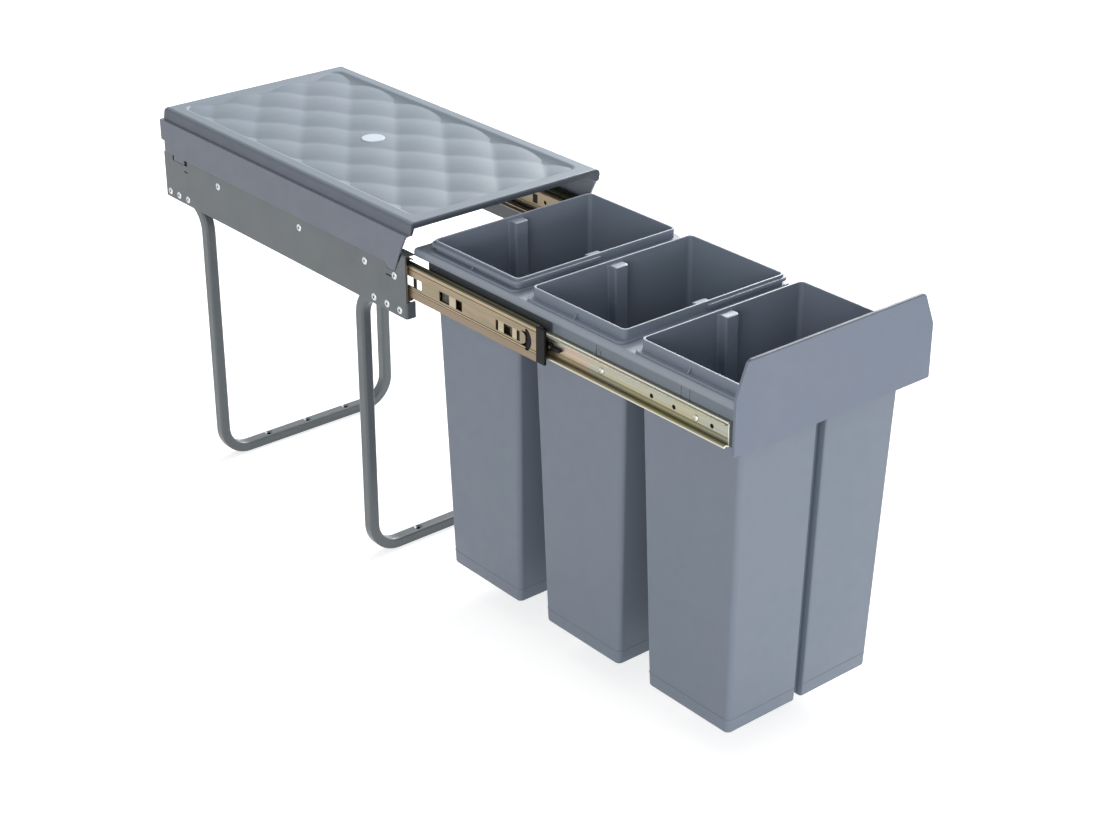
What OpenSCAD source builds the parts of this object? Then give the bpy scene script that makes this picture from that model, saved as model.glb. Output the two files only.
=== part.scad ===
// Pull-out waste bin for a base cabinet: three bins in a carrier on full-extension ball slides,
// under a quilted lid that is clipped on two side plates. It is drawn fully pulled out.
// Origin: on the floor, in the middle of the four outer floor screws. +Z up, -Y is the pull-out direction.

/* [Side plates] */
// Width over the two side plates
unit_w = 250; // [236:1:300]
// Length of a side plate, front to back
plate_len = 460; // [454:1:520]
// Thickness of the plate's sheet steel
plate_t = 1.5; // [1:0.1:2]
// Height of the plates' lower edge above the floor
plate_z = 312; // [312:1:400]
// Height of a plate below the lid's skirt
plate_h = 53; // [50:0.5:60]
// Height of a plate's nose, in front of the lid's tongue
nose_h = 68.5; // [66:0.5:72]
// Width of the inward flange and return at the front
return_w = 11.5; // [6:0.5:11.5]
// Height of the front return under the slide
return_h = 17.5; // [8:0.5:17.5]
// Distance from the front leg to the plate's front edge
nose_reach = 87; // [80:1:90]

/* [Legs] */
// Distance between the front leg and the rear leg
leg_pitch = 300; // [270:1:305]
// Width of the tube, front to back
tube_w = 14; // [10:0.5:16]
// Depth of the tube, from the plate inwards
tube_d = 12; // [10:0.5:12]
// Wall of the tube
tube_wall = 1.5; // [1:0.1:2]
// Radius of the tube's corners
tube_r = 3; // [2:0.1:4]
// Radius of the tube's bends, on its centre line
bend_r = 32; // [24:1:40]
// Distance between two neighbouring floor screws in a leg
floor_hole_pitch = 56; // [40:1:60]
// Diameter of the floor screw holes
floor_hole_d = 5; // [4:0.1:6]

/* [Slides] */
// Height of the outer member
slide_h = 45.5; // [45:0.5:46.5]
// Thickness of a closed slide
slide_t = 12.7; // [12.5:0.1:13.5]
// Thickness of the slide's sheet steel
sheet = 1.2; // [1:0.05:1.3]
// Length of the outer member, which is also the travel of the carrier
outer_len = 450; // [400:1:454]
// How much shorter the middle member is
mid_short = 50; // [50:1:80]
// How much shorter the inner member is
inner_short = 20; // [20:1:40]
// Height of the inner member
inner_h = 23.4; // [22:0.2:24]
// Diameter of the balls between outer and middle member
outer_ball_d = 4.76; // [4.4:0.02:4.9]
// Diameter of the balls between middle and inner member
inner_ball_d = 3.97; // [3.6:0.01:4.1]

/* [Lid] */
// Height of the lid's top above the plates' lower edge
lid_h = 105; // [103:0.5:112]
// Wall of the lid
lid_wall = 2.5; // [1.8:0.1:3]
// Distance between two seams of the quilting
quilt_pitch = 51.4; // [36:0.2:60]
// Rise of a pillow above its seams
quilt_rise = 4.4; // [2:0.1:5]
// Width of the flat border beside the quilting
lid_border = 10; // [6:0.5:16]

/* [Carrier] */
// Wall of the carrier
carrier_wall = 2.5; // [2:0.1:3]
// Height of the carrier's side walls
carrier_h = 43.5; // [38:0.5:44]
// Distance between two neighbouring bins at their rims
bin_gap = 20.6; // [19:0.2:22]
// Width of the front panel
panel_w = 247; // [240:1:260]
// Height of the front panel
panel_h = 87; // [80:1:110]
// Thickness of the front panel
panel_t = 3; // [2:0.1:3.5]

/* [Bins] */
// Width of a bin at its rim
bin_w = 204; // [190:1:204]
// Length of a bin at its rim, front to back
bin_l = 131; // [110:1:134]
// Height of a bin
bin_h = 364.5; // [250:0.5:370]
// Wall of a bin
bin_wall = 2; // [1.6:0.1:2.6]
// How much narrower a bin is at its bottom
taper_w = 18; // [8:1:30]
// How much shorter a bin is at its bottom, front to back
taper_l = 21; // [8:1:30]
// Width of the groove in a bin's front and rear wall
groove_w = 12.6; // [8:0.2:18]
// Depth of that groove
groove_d = 11; // [6:0.2:14]

/* [Hidden] */
$fn = 48;
cut = 1;              // overrun of every cut
fit = 0.1;            // clearance of a pin, ball or flange in its seat
slip = 0.5;           // clearance between pieces that pass each other

// side plates
half_w = unit_w / 2;
wall_x = half_w - plate_t;          // inner face of a plate
front_y = -leg_pitch / 2 - nose_reach;
rear_y = front_y + plate_len;
plate_top = plate_z + plate_h;
nose_top = plate_z + nose_h;
nose_len = 6.5;                     // flat top of the nose
plate_bend = 2.5;                   // outer radius of the plate's bends
notch_run = 11.5;                   // slanted front side of the notch for the lid's tongue
notch_w = 13;                       // flat bottom of the notch
notch_lead = 3.5;                   // slanted rear side of the notch
notch_deep = 6.5;                   // depth of the notch below the plate's top edge
notch_y = front_y + nose_len + notch_run;
tab_l = 18;                         // the nose's flange is longer on its inner side
tab_in = 3;                         // that part starts this far from the plate's outer face
clip_share = 0.893;                 // front end of the rear clip's recess, along the plate
clip_y = front_y + clip_share * plate_len;
clip_len = 31;
clip_deep = 6;
clip_window = 6.5;                  // part of the recess that the clip leaves open, in front
clip_slit = 3;                      // gap behind the clip
slit_l = 9;
clip_mark_l = 6.5;                  // slit under the rear clip
slit_h = 1.5;
slit_drop = 14;                     // slits below the plate's top edge

// rivets
rivet_r = 2;
rivet_head_r = 4;
rivet_head_h = 1.2;
rivet_rim = 0.3;                    // straight rim of the head
mandrel_r = 1.2;
mandrel_deep = 0.7;
leg_rivet_l = 5;
rivet_shares = [0.38, 0.65, 0.91];  // along a leg's arm
slide_rivet_shares = [0.042, 0.155, 0.418, 0.771]; // along the outer member, from its front end

// legs
arm_z = plate_z + tube_w / 2;       // centre of the tube along the plate
leg_x = wall_x - tube_d / 2;        // centre of the upright tube
floor_z = tube_d / 2;               // centre of the run on the floor
arm_inset = 4;                      // tube's end from the plate's end
front_arm = nose_reach - arm_inset;
rear_arm = plate_len - leg_pitch - nose_reach - arm_inset / 2;
dimple_d = 10;                      // pressed seat round a floor screw hole
dimple_deep = 1.2;

// slides: s runs from the plate's inner face towards the bins, t up from the slide's centre
slide_drop = 11;                    // slide's centre below the plate's top edge
slide_z = plate_top - slide_drop;
race_r = outer_ball_d / 2 + fit;
small_race_r = inner_ball_d / 2 + fit;
race_open_share = 0.5;              // a race ends this share of its radius from the balls' equator
ball_t = slide_h / 2 - sheet - race_r;
ball_s = 5.5;
mid_s = 2.4;                        // outer face of the middle member's web
mid_h = 2 * (ball_t - race_open_share * race_r);
small_ball_t = inner_h / 2 + race_open_share * small_race_r;
small_ball_in = 3.8;                // centres of the small balls from the inner member's face
small_ball_s = slide_t - small_ball_in;
mid_len = outer_len - mid_short;
inner_len = outer_len - inner_short;
outer_front = front_y;
mid_lag = 27;                       // front end of the closed middle member behind the inner member's
mid_front = front_y - outer_len / 2 + mid_lag;
inner_front = front_y - outer_len;
outer_cage_l = 160;
outer_cage_place = 12;              // front end of the outer cage behind the outer member's front end
outer_cage_front = outer_front + outer_cage_place;
inner_cage_l = 120;
inner_cage_place = 25;              // front end of the inner cage behind the middle member's front end
inner_cage_front = mid_front + inner_cage_place;
cage_t = 0.7;                       // flange of a cage
cage_web = 0.5;
cage_gap = 0.3;                     // web of the outer cage in front of the outer member's web
outer_cage_s = sheet + cage_gap;
inner_cage_s = mid_s + sheet + slip;
outer_ball_pitch = 16;
inner_ball_pitch = 15;
window_h = 10.4;
window_l = 36;
lock_window_l = 20;                 // window that the lock shows through
lock_window_share = 0.46;           // its front end, along the middle member
window_shares = [0.06, 0.28];       // front ends of the long windows, along the middle member
outer_window_shares = [0.238, 0.571, 0.86]; // front ends of the windows, along the outer member
inner_hole_d = 4.6;
inner_hole_places = [26, 74, 103];
inner_window_d = 10;
inner_window_place = 20;            // in front of the inner member's rear end
screw_places = [46, 170];
buffer_len = 19.5;                  // rear buffer, which stops the closed inner member
bumper_nose = 12;
bumper_tail = 16;
bumper_t = 2.8;
slot_place = 12;                    // curved slot behind the middle member's front end
slot_r = 9;
slot_w = 3;
slot_h = 15;
lever_place = 240;                  // lever's pivot behind the inner member's front end
lever_t = 3;
lever_hub_r = 4;
lever_arm = 13;
lever_tail = 9;
lever_w = 3.4;
lever_pin_r = 1.5;
lever_fit = 0.08;
lever_s = slide_t - sheet - 2 * fit - lever_t;

// lid
lid_top = plate_z + lid_h;
lid_over = 9;                       // lid in front of the plates
lid_behind = 4;                     // lid behind the plates
lid_front = front_y - lid_over;
lid_rear = rear_y + lid_behind;
lid_round = 5;
lid_lean = 1;                       // lean of the upper wall
lid_step_drop = 14.5;               // ledge in the walls, below the top
lid_step_z = lid_top - lid_step_drop;
lid_step = 2.5;                     // depth of the ledge in a side wall, twice that in the rear wall
ledge_fall = 0.6;
shade_h = 1.4;                      // groove that runs along the ledge, in the foot of the upper wall
shade_deep = 0.8;
cheek_backs = [2.5, 8, 16];         // front edge of the side wall, behind the lip
cheek_drops = [14, 16, 31];         // the same points below the lid's top
lid_lip_h = 6;                      // front lip
lip_round = 3;
lid_rear_h = 39;                    // rear wall
skirt_t = plate_t - fit;            // lower wall, outside the slide
skirt_h = 13;
tray_deep = 5.5;                    // crossings of the quilting's seams below the border
tray_slope = 9;                     // width of the slope from the border down to the quilting
tray_r = 12;
front_border = 16;
rear_border = 10;
tray_base = 2;
quilt_turn = 35.8;                  // seams from the lid's length, to the left and to the right
rib_fn = 180;

// carrier and panel
carrier_x = wall_x - slide_t;       // outer face of the carrier's side walls
deck_rise = 31.5;                   // deck above the slide's centre
deck_z = slide_z + deck_rise;
deck_t = 2.5;
deck_over = 1.2;                    // deck's edge beyond the side walls
deck_edge = 7.5;
deck_round = 3;
carrier_nose = 10.7;                // carrier in front of the inner members
front_web = 9.8;                    // carrier in front of the front bin's rim
rear_web = 18.7;                    // carrier behind the rear bin's rim
bin_pitch = bin_l + bin_gap;
carrier_len = front_web + 2 * bin_pitch + bin_l + rear_web;
carrier_front = inner_front - carrier_nose;
carrier_rear = carrier_front + carrier_len;
hole_play = 2.6;                    // opening's edge beside a bin's wall, left and right
hole_play_l = 1.3;                  // opening's edge beside a bin's wall, front and rear
lip_h = 12;                         // collar under each opening
lip_t = 1.8;
seam_w = 1;
seam_deep = 0.6;
seam_places = [55, 66, 178];
boss_place = 176;
boss_r = 3.5;
boss_h = 0.4;
boss_z = slide_z + inner_h / 2 + slip + boss_r;
panel_drop = 11;                    // panel's lower edge below the slide's centre
panel_z = slide_z - panel_drop;
panel_kink = 53;                    // height of the panel's straight sides
panel_lean = 11.5;                  // how much the panel narrows above them, on each side
panel_corner_r = 6;
panel_low_r = 1.2;
panel_screw_x = 88;
panel_screw_rise = 14;              // lower screws above the panel's lower edge
panel_screw_dz = 14;
post_r = 4.5;
screw_head_r = 4.2;
screw_head_h = 1.8;
screw_rim = 0.4;
screw_r = 1.7;
cross_w = 1;
cross_l = 4.4;
cross_deep = 0.9;

// bins
rim_rise = 12.5;                    // rim above the deck
rim_z = deck_z + rim_rise;
bin_z = rim_z - bin_h;
bin_corner = 9;
bin_foot_r = 3;
flange_w = 6.5;
flange_l = 3;
flange_t = 2.4;
bead_drop = 6;
bead_h = 3.5;
bead_w = 3.5;
cap_drop = 3;                       // top of the pillar below the rim
groove_foot_share = 0.82;           // groove's size at the bottom
gusset_w = 4;
gusset_h = 6;
gusset_t = 1.5;
mould_line_z = 15;
mould_line_h = 0.5;
mould_line = 0.3;
hull_fn = 32;
thin = 0.4;                         // thickness of the flat shapes that a hull joins

// centre of a dome of radius r and height h below its top
function dome_r(r, h) = (r * r + h * h) / (2 * h);

// a flat shape in x and z, drawn out along y from y0 to y1
module along_y(y0, y1) translate([0, y1, 0]) rotate([90, 0, 0]) linear_extrude(y1 - y0) children();

// a flat shape in y and z, drawn out along x from x0 to x1
module along_x(x0, x1) translate([x0, 0, 0]) rotate([90, 0, 90]) linear_extrude(x1 - x0) children();

// pieces are drawn for the left side, and mirrored for the right one
module on_side(side) {
    if (side < 0) children();
    else mirror([1, 0, 0]) children();
}

module round_rect(w, h, r) {
    square([w - 2 * r, h], center = true);
    square([w, h - 2 * r], center = true);
    for (i = [-1, 1], j = [-1, 1]) translate([i * (w / 2 - r), j * (h / 2 - r)]) circle(r);
}

// a head at the origin that looks towards -x, on a shank of length l
module headed_pin(head_r, head_h, rim, r, l) {
    dome = dome_r(head_r, head_h - rim);
    rotate([0, 90, 0]) {
        intersection() {
            translate([0, 0, -head_h]) cylinder(r = head_r, h = head_h);
            translate([0, 0, dome - head_h]) sphere(dome);
        }
        cylinder(r = r, h = l);
    }
}

// side plates

// a sheet bent through a right angle: from the corner at the origin it runs w along +x, and up to the bend along +y
module flange(w) {
    intersection() {
        translate([plate_bend, plate_bend]) difference() {
            circle(plate_bend);
            circle(plate_bend - plate_t);
        }
        square([plate_bend, plate_bend]);
    }
    translate([plate_bend, 0]) square([w - plate_bend, plate_t]);
}

module plate_outline() {
    difference() {
        polygon([
            [front_y + plate_bend, plate_z], [rear_y, plate_z], [rear_y, plate_top],
            [clip_y + clip_len, plate_top], [clip_y + clip_len, plate_top - clip_deep],
            [clip_y, plate_top - clip_deep], [clip_y, plate_top],
            [notch_y + notch_w + notch_lead, plate_top], [notch_y + notch_w, plate_top - notch_deep],
            [notch_y, plate_top - notch_deep], [front_y + nose_len, nose_top - plate_bend],
            [front_y, nose_top - plate_bend], [front_y, plate_z + return_h],
            [front_y + plate_bend, plate_z + return_h]]);
        translate([clip_y + slip, plate_top - slit_drop]) square([clip_mark_l, slit_h]);
        translate([notch_y + notch_w / 2, plate_top - slit_drop]) square([slit_l, slit_h]);
    }
}

function leg_spots() = [for (s = rivet_shares) each [
    [-leg_pitch / 2 - s * front_arm, arm_z], [leg_pitch / 2 + s * rear_arm, arm_z]]];
function slide_spots() = [for (s = slide_rivet_shares) [outer_front + s * outer_len, slide_z]];

module side_plate(side) color("#6c7376") on_side(side) difference() {
    union() {
        along_x(-half_w, -wall_x) plate_outline();
        translate([-half_w, front_y, plate_z]) linear_extrude(return_h) flange(return_w);
        along_y(front_y, front_y + nose_len) translate([-half_w, nose_top]) mirror([0, 1]) flange(return_w);
        translate([-half_w + tab_in, front_y + nose_len - fit, nose_top - plate_t])
            cube([return_w - tab_in, tab_l - nose_len + fit, plate_t]);
    }
    for (p = concat(leg_spots(), slide_spots())) translate([-half_w - cut, p[0], p[1]]) rotate([0, 90, 0])
        cylinder(r = rivet_r + fit, h = plate_t + 2 * cut);
}

module rivet(l) difference() {
    headed_pin(rivet_head_r, rivet_head_h, rivet_rim, rivet_r, l);
    translate([-rivet_head_h - cut, 0, 0]) rotate([0, 90, 0]) cylinder(r = mandrel_r, h = mandrel_deep + cut);
}

module plate_rivets(side) color("#c9ccce") on_side(side) {
    for (p = leg_spots()) translate([-half_w, p[0], p[1]]) rivet(leg_rivet_l);
    for (p = slide_spots()) translate([-half_w, p[0], p[1]]) rivet(plate_t + sheet);
}

// legs

module tube_section(w, h) difference() {
    round_rect(w, h, tube_r);
    round_rect(w - 2 * tube_wall, h - 2 * tube_wall, tube_r - tube_wall / 2);
}

// left half of the front leg, with the run on the floor along x
module leg_half(arm) {
    translate([-leg_x, 0, arm_z]) along_y(-arm, -bend_r) tube_section(tube_d, tube_w);
    translate([-leg_x, -bend_r, arm_z - bend_r]) rotate([90, 0, 90])
        rotate_extrude(angle = 90) translate([bend_r, 0]) tube_section(tube_w, tube_d);
    translate([-leg_x, 0, floor_z + bend_r]) linear_extrude(arm_z - floor_z - 2 * bend_r) tube_section(tube_d, tube_w);
    translate([-leg_x + bend_r, 0, floor_z + bend_r]) rotate([90, 0, 0]) rotate([0, 0, 180])
        rotate_extrude(angle = 90) translate([bend_r, 0]) tube_section(tube_d, tube_w);
    translate([0, 0, floor_z]) along_x(-leg_x + bend_r, 0) tube_section(tube_w, tube_d);
}

module leg(arm) difference() {
    union() {
        leg_half(arm);
        mirror([1, 0, 0]) leg_half(arm);
    }
    for (side = [-1, 1], s = rivet_shares) on_side(side) translate([-wall_x - cut, -s * arm, arm_z])
        rotate([0, 90, 0]) cylinder(r = rivet_r + fit, h = tube_wall + 2 * cut);
    for (i = [-1, 0, 1]) translate([i * floor_hole_pitch, 0, 0]) {
        translate([0, 0, -cut]) cylinder(d = floor_hole_d, h = tube_d + 2 * cut);
        translate([0, 0, tube_d - dimple_deep]) cylinder(d1 = floor_hole_d, d2 = dimple_d, h = dimple_deep + fit);
    }
}

module front_leg() color("#5f6668") translate([0, -leg_pitch / 2, 0]) leg(front_arm);

module rear_leg() color("#5f6668") translate([0, leg_pitch / 2, 0]) mirror([0, 1, 0]) leg(rear_arm);

// lid

// cross-section in x and z, moved in by the wall for the inside
module lid_section(wall) {
    up_x = half_w - lid_step - wall;
    low_x = half_w - (wall > 0 ? skirt_t : 0);
    ledge_z = lid_step_z - wall;
    r = lid_round - wall / 2;
    round_x = up_x - lid_lean - r;
    round_z = lid_top - wall - r;
    for (m = [0, 1]) mirror([m, 0]) {
        translate([round_x, round_z]) circle(r);
        polygon([[0, plate_z], [low_x, plate_z], [low_x, plate_top + skirt_h], [half_w - wall, plate_top + skirt_h + wall],
            [half_w - wall, ledge_z - ledge_fall], [up_x, ledge_z], [up_x - lid_lean, round_z],
            [round_x, lid_top - wall], [0, lid_top - wall]]);
    }
}

// groove along the ledge, seen from the front
module side_shades() for (m = [-1, 1])
    translate([m * (half_w - lid_step) - shade_deep, lid_step_z]) square([2 * shade_deep, shade_h]);

// side view in y and z
module lid_profile() {
    tongue = plate_top - notch_deep + slip;
    clip_end = clip_y + clip_len - clip_slit;
    back_y = lid_rear - 2 * lid_step;
    side_rear = rear_y - lid_wall;
    polygon([
        for (a = [90 : 15 : 180]) [lid_front + lip_round * (1 + cos(a)), lid_top - lip_round * (1 - sin(a))],
        [lid_front, lid_top - lid_lip_h],
        for (i = [0 : len(cheek_backs) - 1]) [lid_front + cheek_backs[i], lid_top - cheek_drops[i]],
        [notch_y + slip, tongue], [notch_y + notch_w - slip, tongue], [notch_y + notch_w + notch_lead, plate_top],
        [clip_y + clip_window, plate_top], [clip_y + clip_window, plate_top - clip_deep + slip],
        [clip_end, plate_top - clip_deep + slip], [clip_end, plate_top],
        [side_rear, plate_top], [side_rear, lid_top - lid_rear_h], [lid_rear, lid_top - lid_rear_h],
        [lid_rear, lid_step_z - ledge_fall], [back_y - shade_deep, lid_step_z],
        [back_y - shade_deep, lid_step_z + shade_h], [back_y, lid_step_z + shade_h],
        for (a = [0 : 15 : 90]) [back_y - lid_lean - lid_round * (1 - cos(a)), lid_top - lid_round * (1 - sin(a))]]);
}

module lid_hollow() {
    back_y = lid_rear - 2 * lid_step - lid_wall;
    polygon([
        [lid_front - cut, plate_z], [lid_front - cut, lid_top - lid_lip_h],
        [lid_front + lid_wall, lid_top - lid_lip_h], [lid_front + lid_wall, lid_top],
        [back_y - lid_lean - lid_round, lid_top], [back_y - lid_lean, lid_top - lid_round],
        [back_y, lid_step_z - lid_wall], [lid_rear - lid_wall, lid_step_z - ledge_fall - lid_wall],
        [lid_rear - lid_wall, plate_z]]);
}

tray_x = half_w - lid_step - lid_lean - lid_round - lid_border;
tray_y0 = lid_front + front_border;
tray_y1 = lid_rear - 2 * lid_step - lid_lean - lid_round - rear_border;
tray_mid = (tray_y0 + tray_y1) / 2;
tray_l = tray_y1 - tray_y0;

module tray_outline(grow) translate([0, tray_mid]) round_rect(2 * tray_x + 2 * grow, tray_l + 2 * grow, tray_r + grow);

// a tray with sloping sides, its top at the border and its floor at z
module tray_form(grow, z) hull() {
    translate([0, 0, lid_top - thin]) linear_extrude(thin + (grow > 0 ? -lid_wall / 2 : cut)) tray_outline(grow);
    translate([0, 0, z]) linear_extrude(thin) tray_outline(grow - tray_slope);
}

// round ribs side by side, whose backs are the crowns of the pillows
module ribs() {
    span = tray_x + tray_l;
    rib_r = dome_r(quilt_pitch / 2, quilt_rise);
    count = ceil(span / 2 / quilt_pitch);
    floor_z = lid_top - tray_deep;
    intersection() {
        for (i = [-count : count]) translate([i * quilt_pitch, floor_z + quilt_rise - rib_r]) circle(rib_r, $fn = rib_fn);
        translate([-span, floor_z - tray_base]) square([2 * span, tray_base + tray_deep]);
    }
}

module quilt() intersection() {
    translate([0, 0, plate_z]) linear_extrude(lid_h) tray_outline(fit);
    translate([0, tray_mid, 0]) rotate([0, 0, quilt_turn]) along_y(-tray_l, tray_l) ribs();
    translate([0, tray_mid, 0]) rotate([0, 0, -quilt_turn]) along_y(-tray_l, tray_l) ribs();
}

module lid() color("#8a929b") {
    difference() {
        union() {
            difference() {
                intersection() {
                    along_y(lid_front - cut, lid_rear + cut) difference() {
                        lid_section(0);
                        side_shades();
                    }
                    along_x(-half_w - cut, half_w + cut) lid_profile();
                }
                intersection() {
                    along_y(lid_front - cut, lid_rear + cut) lid_section(lid_wall);
                    along_x(-half_w, half_w) lid_hollow();
                }
            }
            tray_form(lid_wall, lid_top - tray_deep - tray_base);
        }
        tray_form(0, lid_top - tray_deep);
    }
    quilt();
}

// slides

// a profile in s and t, in its place on the left plate, from y0 to y1
module slide_part(y0, y1) translate([-wall_x, 0, slide_z]) along_y(y0, y1) children();

// a round hole through a web whose outer face is at s
module web_hole(s, y, r) translate([-wall_x + s - cut, y, slide_z]) rotate([0, 90, 0])
    cylinder(r = r, h = sheet + 2 * cut);

module web_window(s, y, l) translate([-wall_x + s - cut, y, slide_z - window_h / 2])
    cube([sheet + 2 * cut, l, window_h]);

// the arc of a race above the balls, or below them
module race(s, t, r, above) translate([s, t]) difference() {
    intersection() {
        circle(r + sheet);
        mirror([0, above ? 0 : 1]) translate([-r - sheet, race_open_share * r]) square([2 * (r + sheet), r + sheet]);
    }
    circle(r);
}

module outer_profile() {
    translate([0, -slide_h / 2]) square([sheet, slide_h]);
    for (m = [0, 1]) mirror([0, m]) {
        translate([0, slide_h / 2 - sheet]) square([ball_s, sheet]);
        race(ball_s, ball_t, race_r, true);
    }
}

module mid_profile() {
    difference() {
        translate([mid_s, -mid_h / 2]) square([sheet, mid_h]);
        for (m = [-1, 1]) translate([ball_s, m * ball_t]) circle(race_r);
    }
    for (m = [0, 1]) mirror([0, m]) {
        intersection() {
            race(ball_s, ball_t, race_r, false);
            translate([mid_s, 0]) square([slide_t, slide_h]);
        }
        translate([ball_s, ball_t - race_r - sheet]) square([small_ball_s - ball_s, sheet]);
        race(small_ball_s, small_ball_t, small_race_r, true);
    }
}

module inner_profile() {
    translate([slide_t - sheet, -inner_h / 2]) square([sheet, inner_h]);
    for (m = [0, 1]) mirror([0, m]) race(small_ball_s, small_ball_t, small_race_r, false);
}

module slide_outer(side) color("#b5a36a") on_side(side) difference() {
    slide_part(outer_front, outer_front + outer_len) outer_profile();
    for (p = slide_spots()) web_hole(0, p[0], rivet_r + fit);
    for (s = outer_window_shares) web_window(0, outer_front + s * outer_len, window_l);
}

// curved slot that holds the bumper's tail
module curved_slot() intersection() {
    translate([slot_r, 0]) difference() {
        circle(slot_r);
        circle(slot_r - slot_w);
    }
    translate([0, -slot_h / 2]) square([slot_r, slot_h]);
}

module slide_mid(side) color("#b7a26c") on_side(side) difference() {
    slide_part(mid_front, mid_front + mid_len) mid_profile();
    for (s = window_shares) web_window(mid_s, mid_front + s * mid_len, window_l);
    web_window(mid_s, mid_front + lock_window_share * mid_len, lock_window_l);
    translate([0, mid_front + slot_place, slide_z]) along_x(-wall_x + mid_s - cut, -wall_x + mid_s + sheet + cut)
        curved_slot();
}

module slide_inner(side) color("#c0ad78") on_side(side) {
    difference() {
        slide_part(inner_front, inner_front + inner_len) inner_profile();
        for (y = inner_hole_places) web_hole(slide_t - sheet, inner_front + y, inner_hole_d / 2);
        for (y = screw_places) web_hole(slide_t - sheet, inner_front + y, screw_r + fit);
        web_hole(slide_t - sheet, inner_front + inner_len - inner_window_place, inner_window_d / 2);
    }
    // pin of the disconnect lever
    translate([-wall_x + lever_s - fit, inner_front + lever_place, slide_z]) rotate([0, 90, 0])
        cylinder(r = lever_pin_r, h = slide_t - sheet / 2 - lever_s + fit);
}

// a thin channel whose two flanges have a row of pockets, s0 is its web and s1 the edge of its flanges
module cage(s, t, s0, s1, front, l, r, pitch) {
    count = floor((l - pitch) / pitch);
    difference() {
        slide_part(front, front + l) {
            translate([s0, -t]) square([cage_web, 2 * t]);
            for (m = [-1, 1]) translate([s0, m * t - cage_t / 2]) square([s1 - s0, cage_t]);
        }
        for (i = [0 : count]) translate([-wall_x + s, front + pitch / 2 + i * pitch, slide_z - t - cut])
            cylinder(r = r, h = 2 * (t + cut));
        translate([-wall_x + s0 - cut, front + pitch, slide_z - t / 2]) cube([cage_web + 2 * cut, l - 2 * pitch, t]);
    }
}

module balls(s, t, front, l, r, pitch) {
    count = floor((l - pitch) / pitch);
    for (i = [0 : count], m = [-1, 1])
        translate([-wall_x + s, front + pitch / 2 + i * pitch, slide_z + m * t]) sphere(r);
}

module outer_cage(side) color("#8d9194") on_side(side)
    cage(ball_s, ball_t, outer_cage_s, ball_s + race_r + sheet, outer_cage_front, outer_cage_l, race_r, outer_ball_pitch);

module outer_balls(side) color("#d8dadc") on_side(side)
    balls(ball_s, ball_t, outer_cage_front, outer_cage_l, race_r - fit, outer_ball_pitch);

module inner_cage(side) color("#8d9194") on_side(side)
    cage(small_ball_s, small_ball_t, inner_cage_s, slide_t - slip, inner_cage_front, inner_cage_l,
        small_race_r, inner_ball_pitch);

module inner_balls(side) color("#d8dadc") on_side(side)
    balls(small_ball_s, small_ball_t, inner_cage_front, inner_cage_l, small_race_r - fit, inner_ball_pitch);

module rear_buffer(side) color("#26282a") on_side(side)
    slide_part(outer_front + outer_len - buffer_len, outer_front + outer_len)
        translate([sheet, -inner_h / 2]) square([slide_t - 2 * sheet, inner_h]);

module mid_bumper(side) color("#202224") on_side(side) {
    slide_part(mid_front - bumper_nose, mid_front) translate([mid_s, -mid_h / 2]) square([bumper_t, mid_h]);
    slide_part(mid_front - cut, mid_front + bumper_tail) translate([mid_s + sheet, -inner_h / 2])
        square([bumper_t - sheet, inner_h]);
}

module disconnect_lever(side) color("#202224") on_side(side)
    translate([0, inner_front + lever_place, slide_z]) along_x(-wall_x + lever_s, -wall_x + lever_s + lever_t)
        difference() {
            union() {
                circle(lever_hub_r);
                translate([-lever_arm, -lever_w / 2]) square([lever_arm + lever_tail, lever_w]);
                translate([-lever_arm, 0]) circle(lever_w / 2);
            }
            circle(lever_pin_r + lever_fit);
        }

// a cross-recess screw, its head at the origin and its shank along +x
module screw(l) difference() {
    headed_pin(screw_head_r, screw_head_h, screw_rim, screw_r, l);
    for (a = [0, 90]) rotate([a, 0, 0]) translate([-screw_head_h - cut, -cross_l / 2, -cross_w / 2])
        cube([cross_deep + cut, cross_l, cross_w]);
}

module carrier_screws(side) color("#d8d9d6") on_side(side)
    for (y = screw_places) translate([-carrier_x - sheet, inner_front + y, slide_z]) screw(sheet + carrier_wall);

// carrier

bin_ys = [for (i = [0 : 2]) carrier_front + front_web + bin_l / 2 + i * bin_pitch];
panel_spots = [for (x = [-panel_screw_x, panel_screw_x], z = [0, panel_screw_dz]) [x, panel_z + panel_screw_rise + z]];

module openings(grow, z0, z1) for (y = bin_ys) translate([0, y, z0]) linear_extrude(z1 - z0)
    round_rect(bin_w + 2 * (hole_play + grow), bin_l + 2 * (hole_play_l + grow), bin_corner + grow);

module carrier_section() {
    edge_x = carrier_x + deck_over;
    translate([-carrier_x, deck_z - carrier_h]) square([2 * carrier_x, carrier_h - deck_round]);
    translate([-edge_x, deck_z - deck_edge]) square([2 * edge_x, deck_edge - deck_round]);
    translate([-edge_x + deck_round, deck_z - deck_edge]) square([2 * (edge_x - deck_round), deck_edge]);
    for (m = [-1, 1]) translate([m * (edge_x - deck_round), deck_z - deck_round]) circle(deck_round);
}

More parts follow.
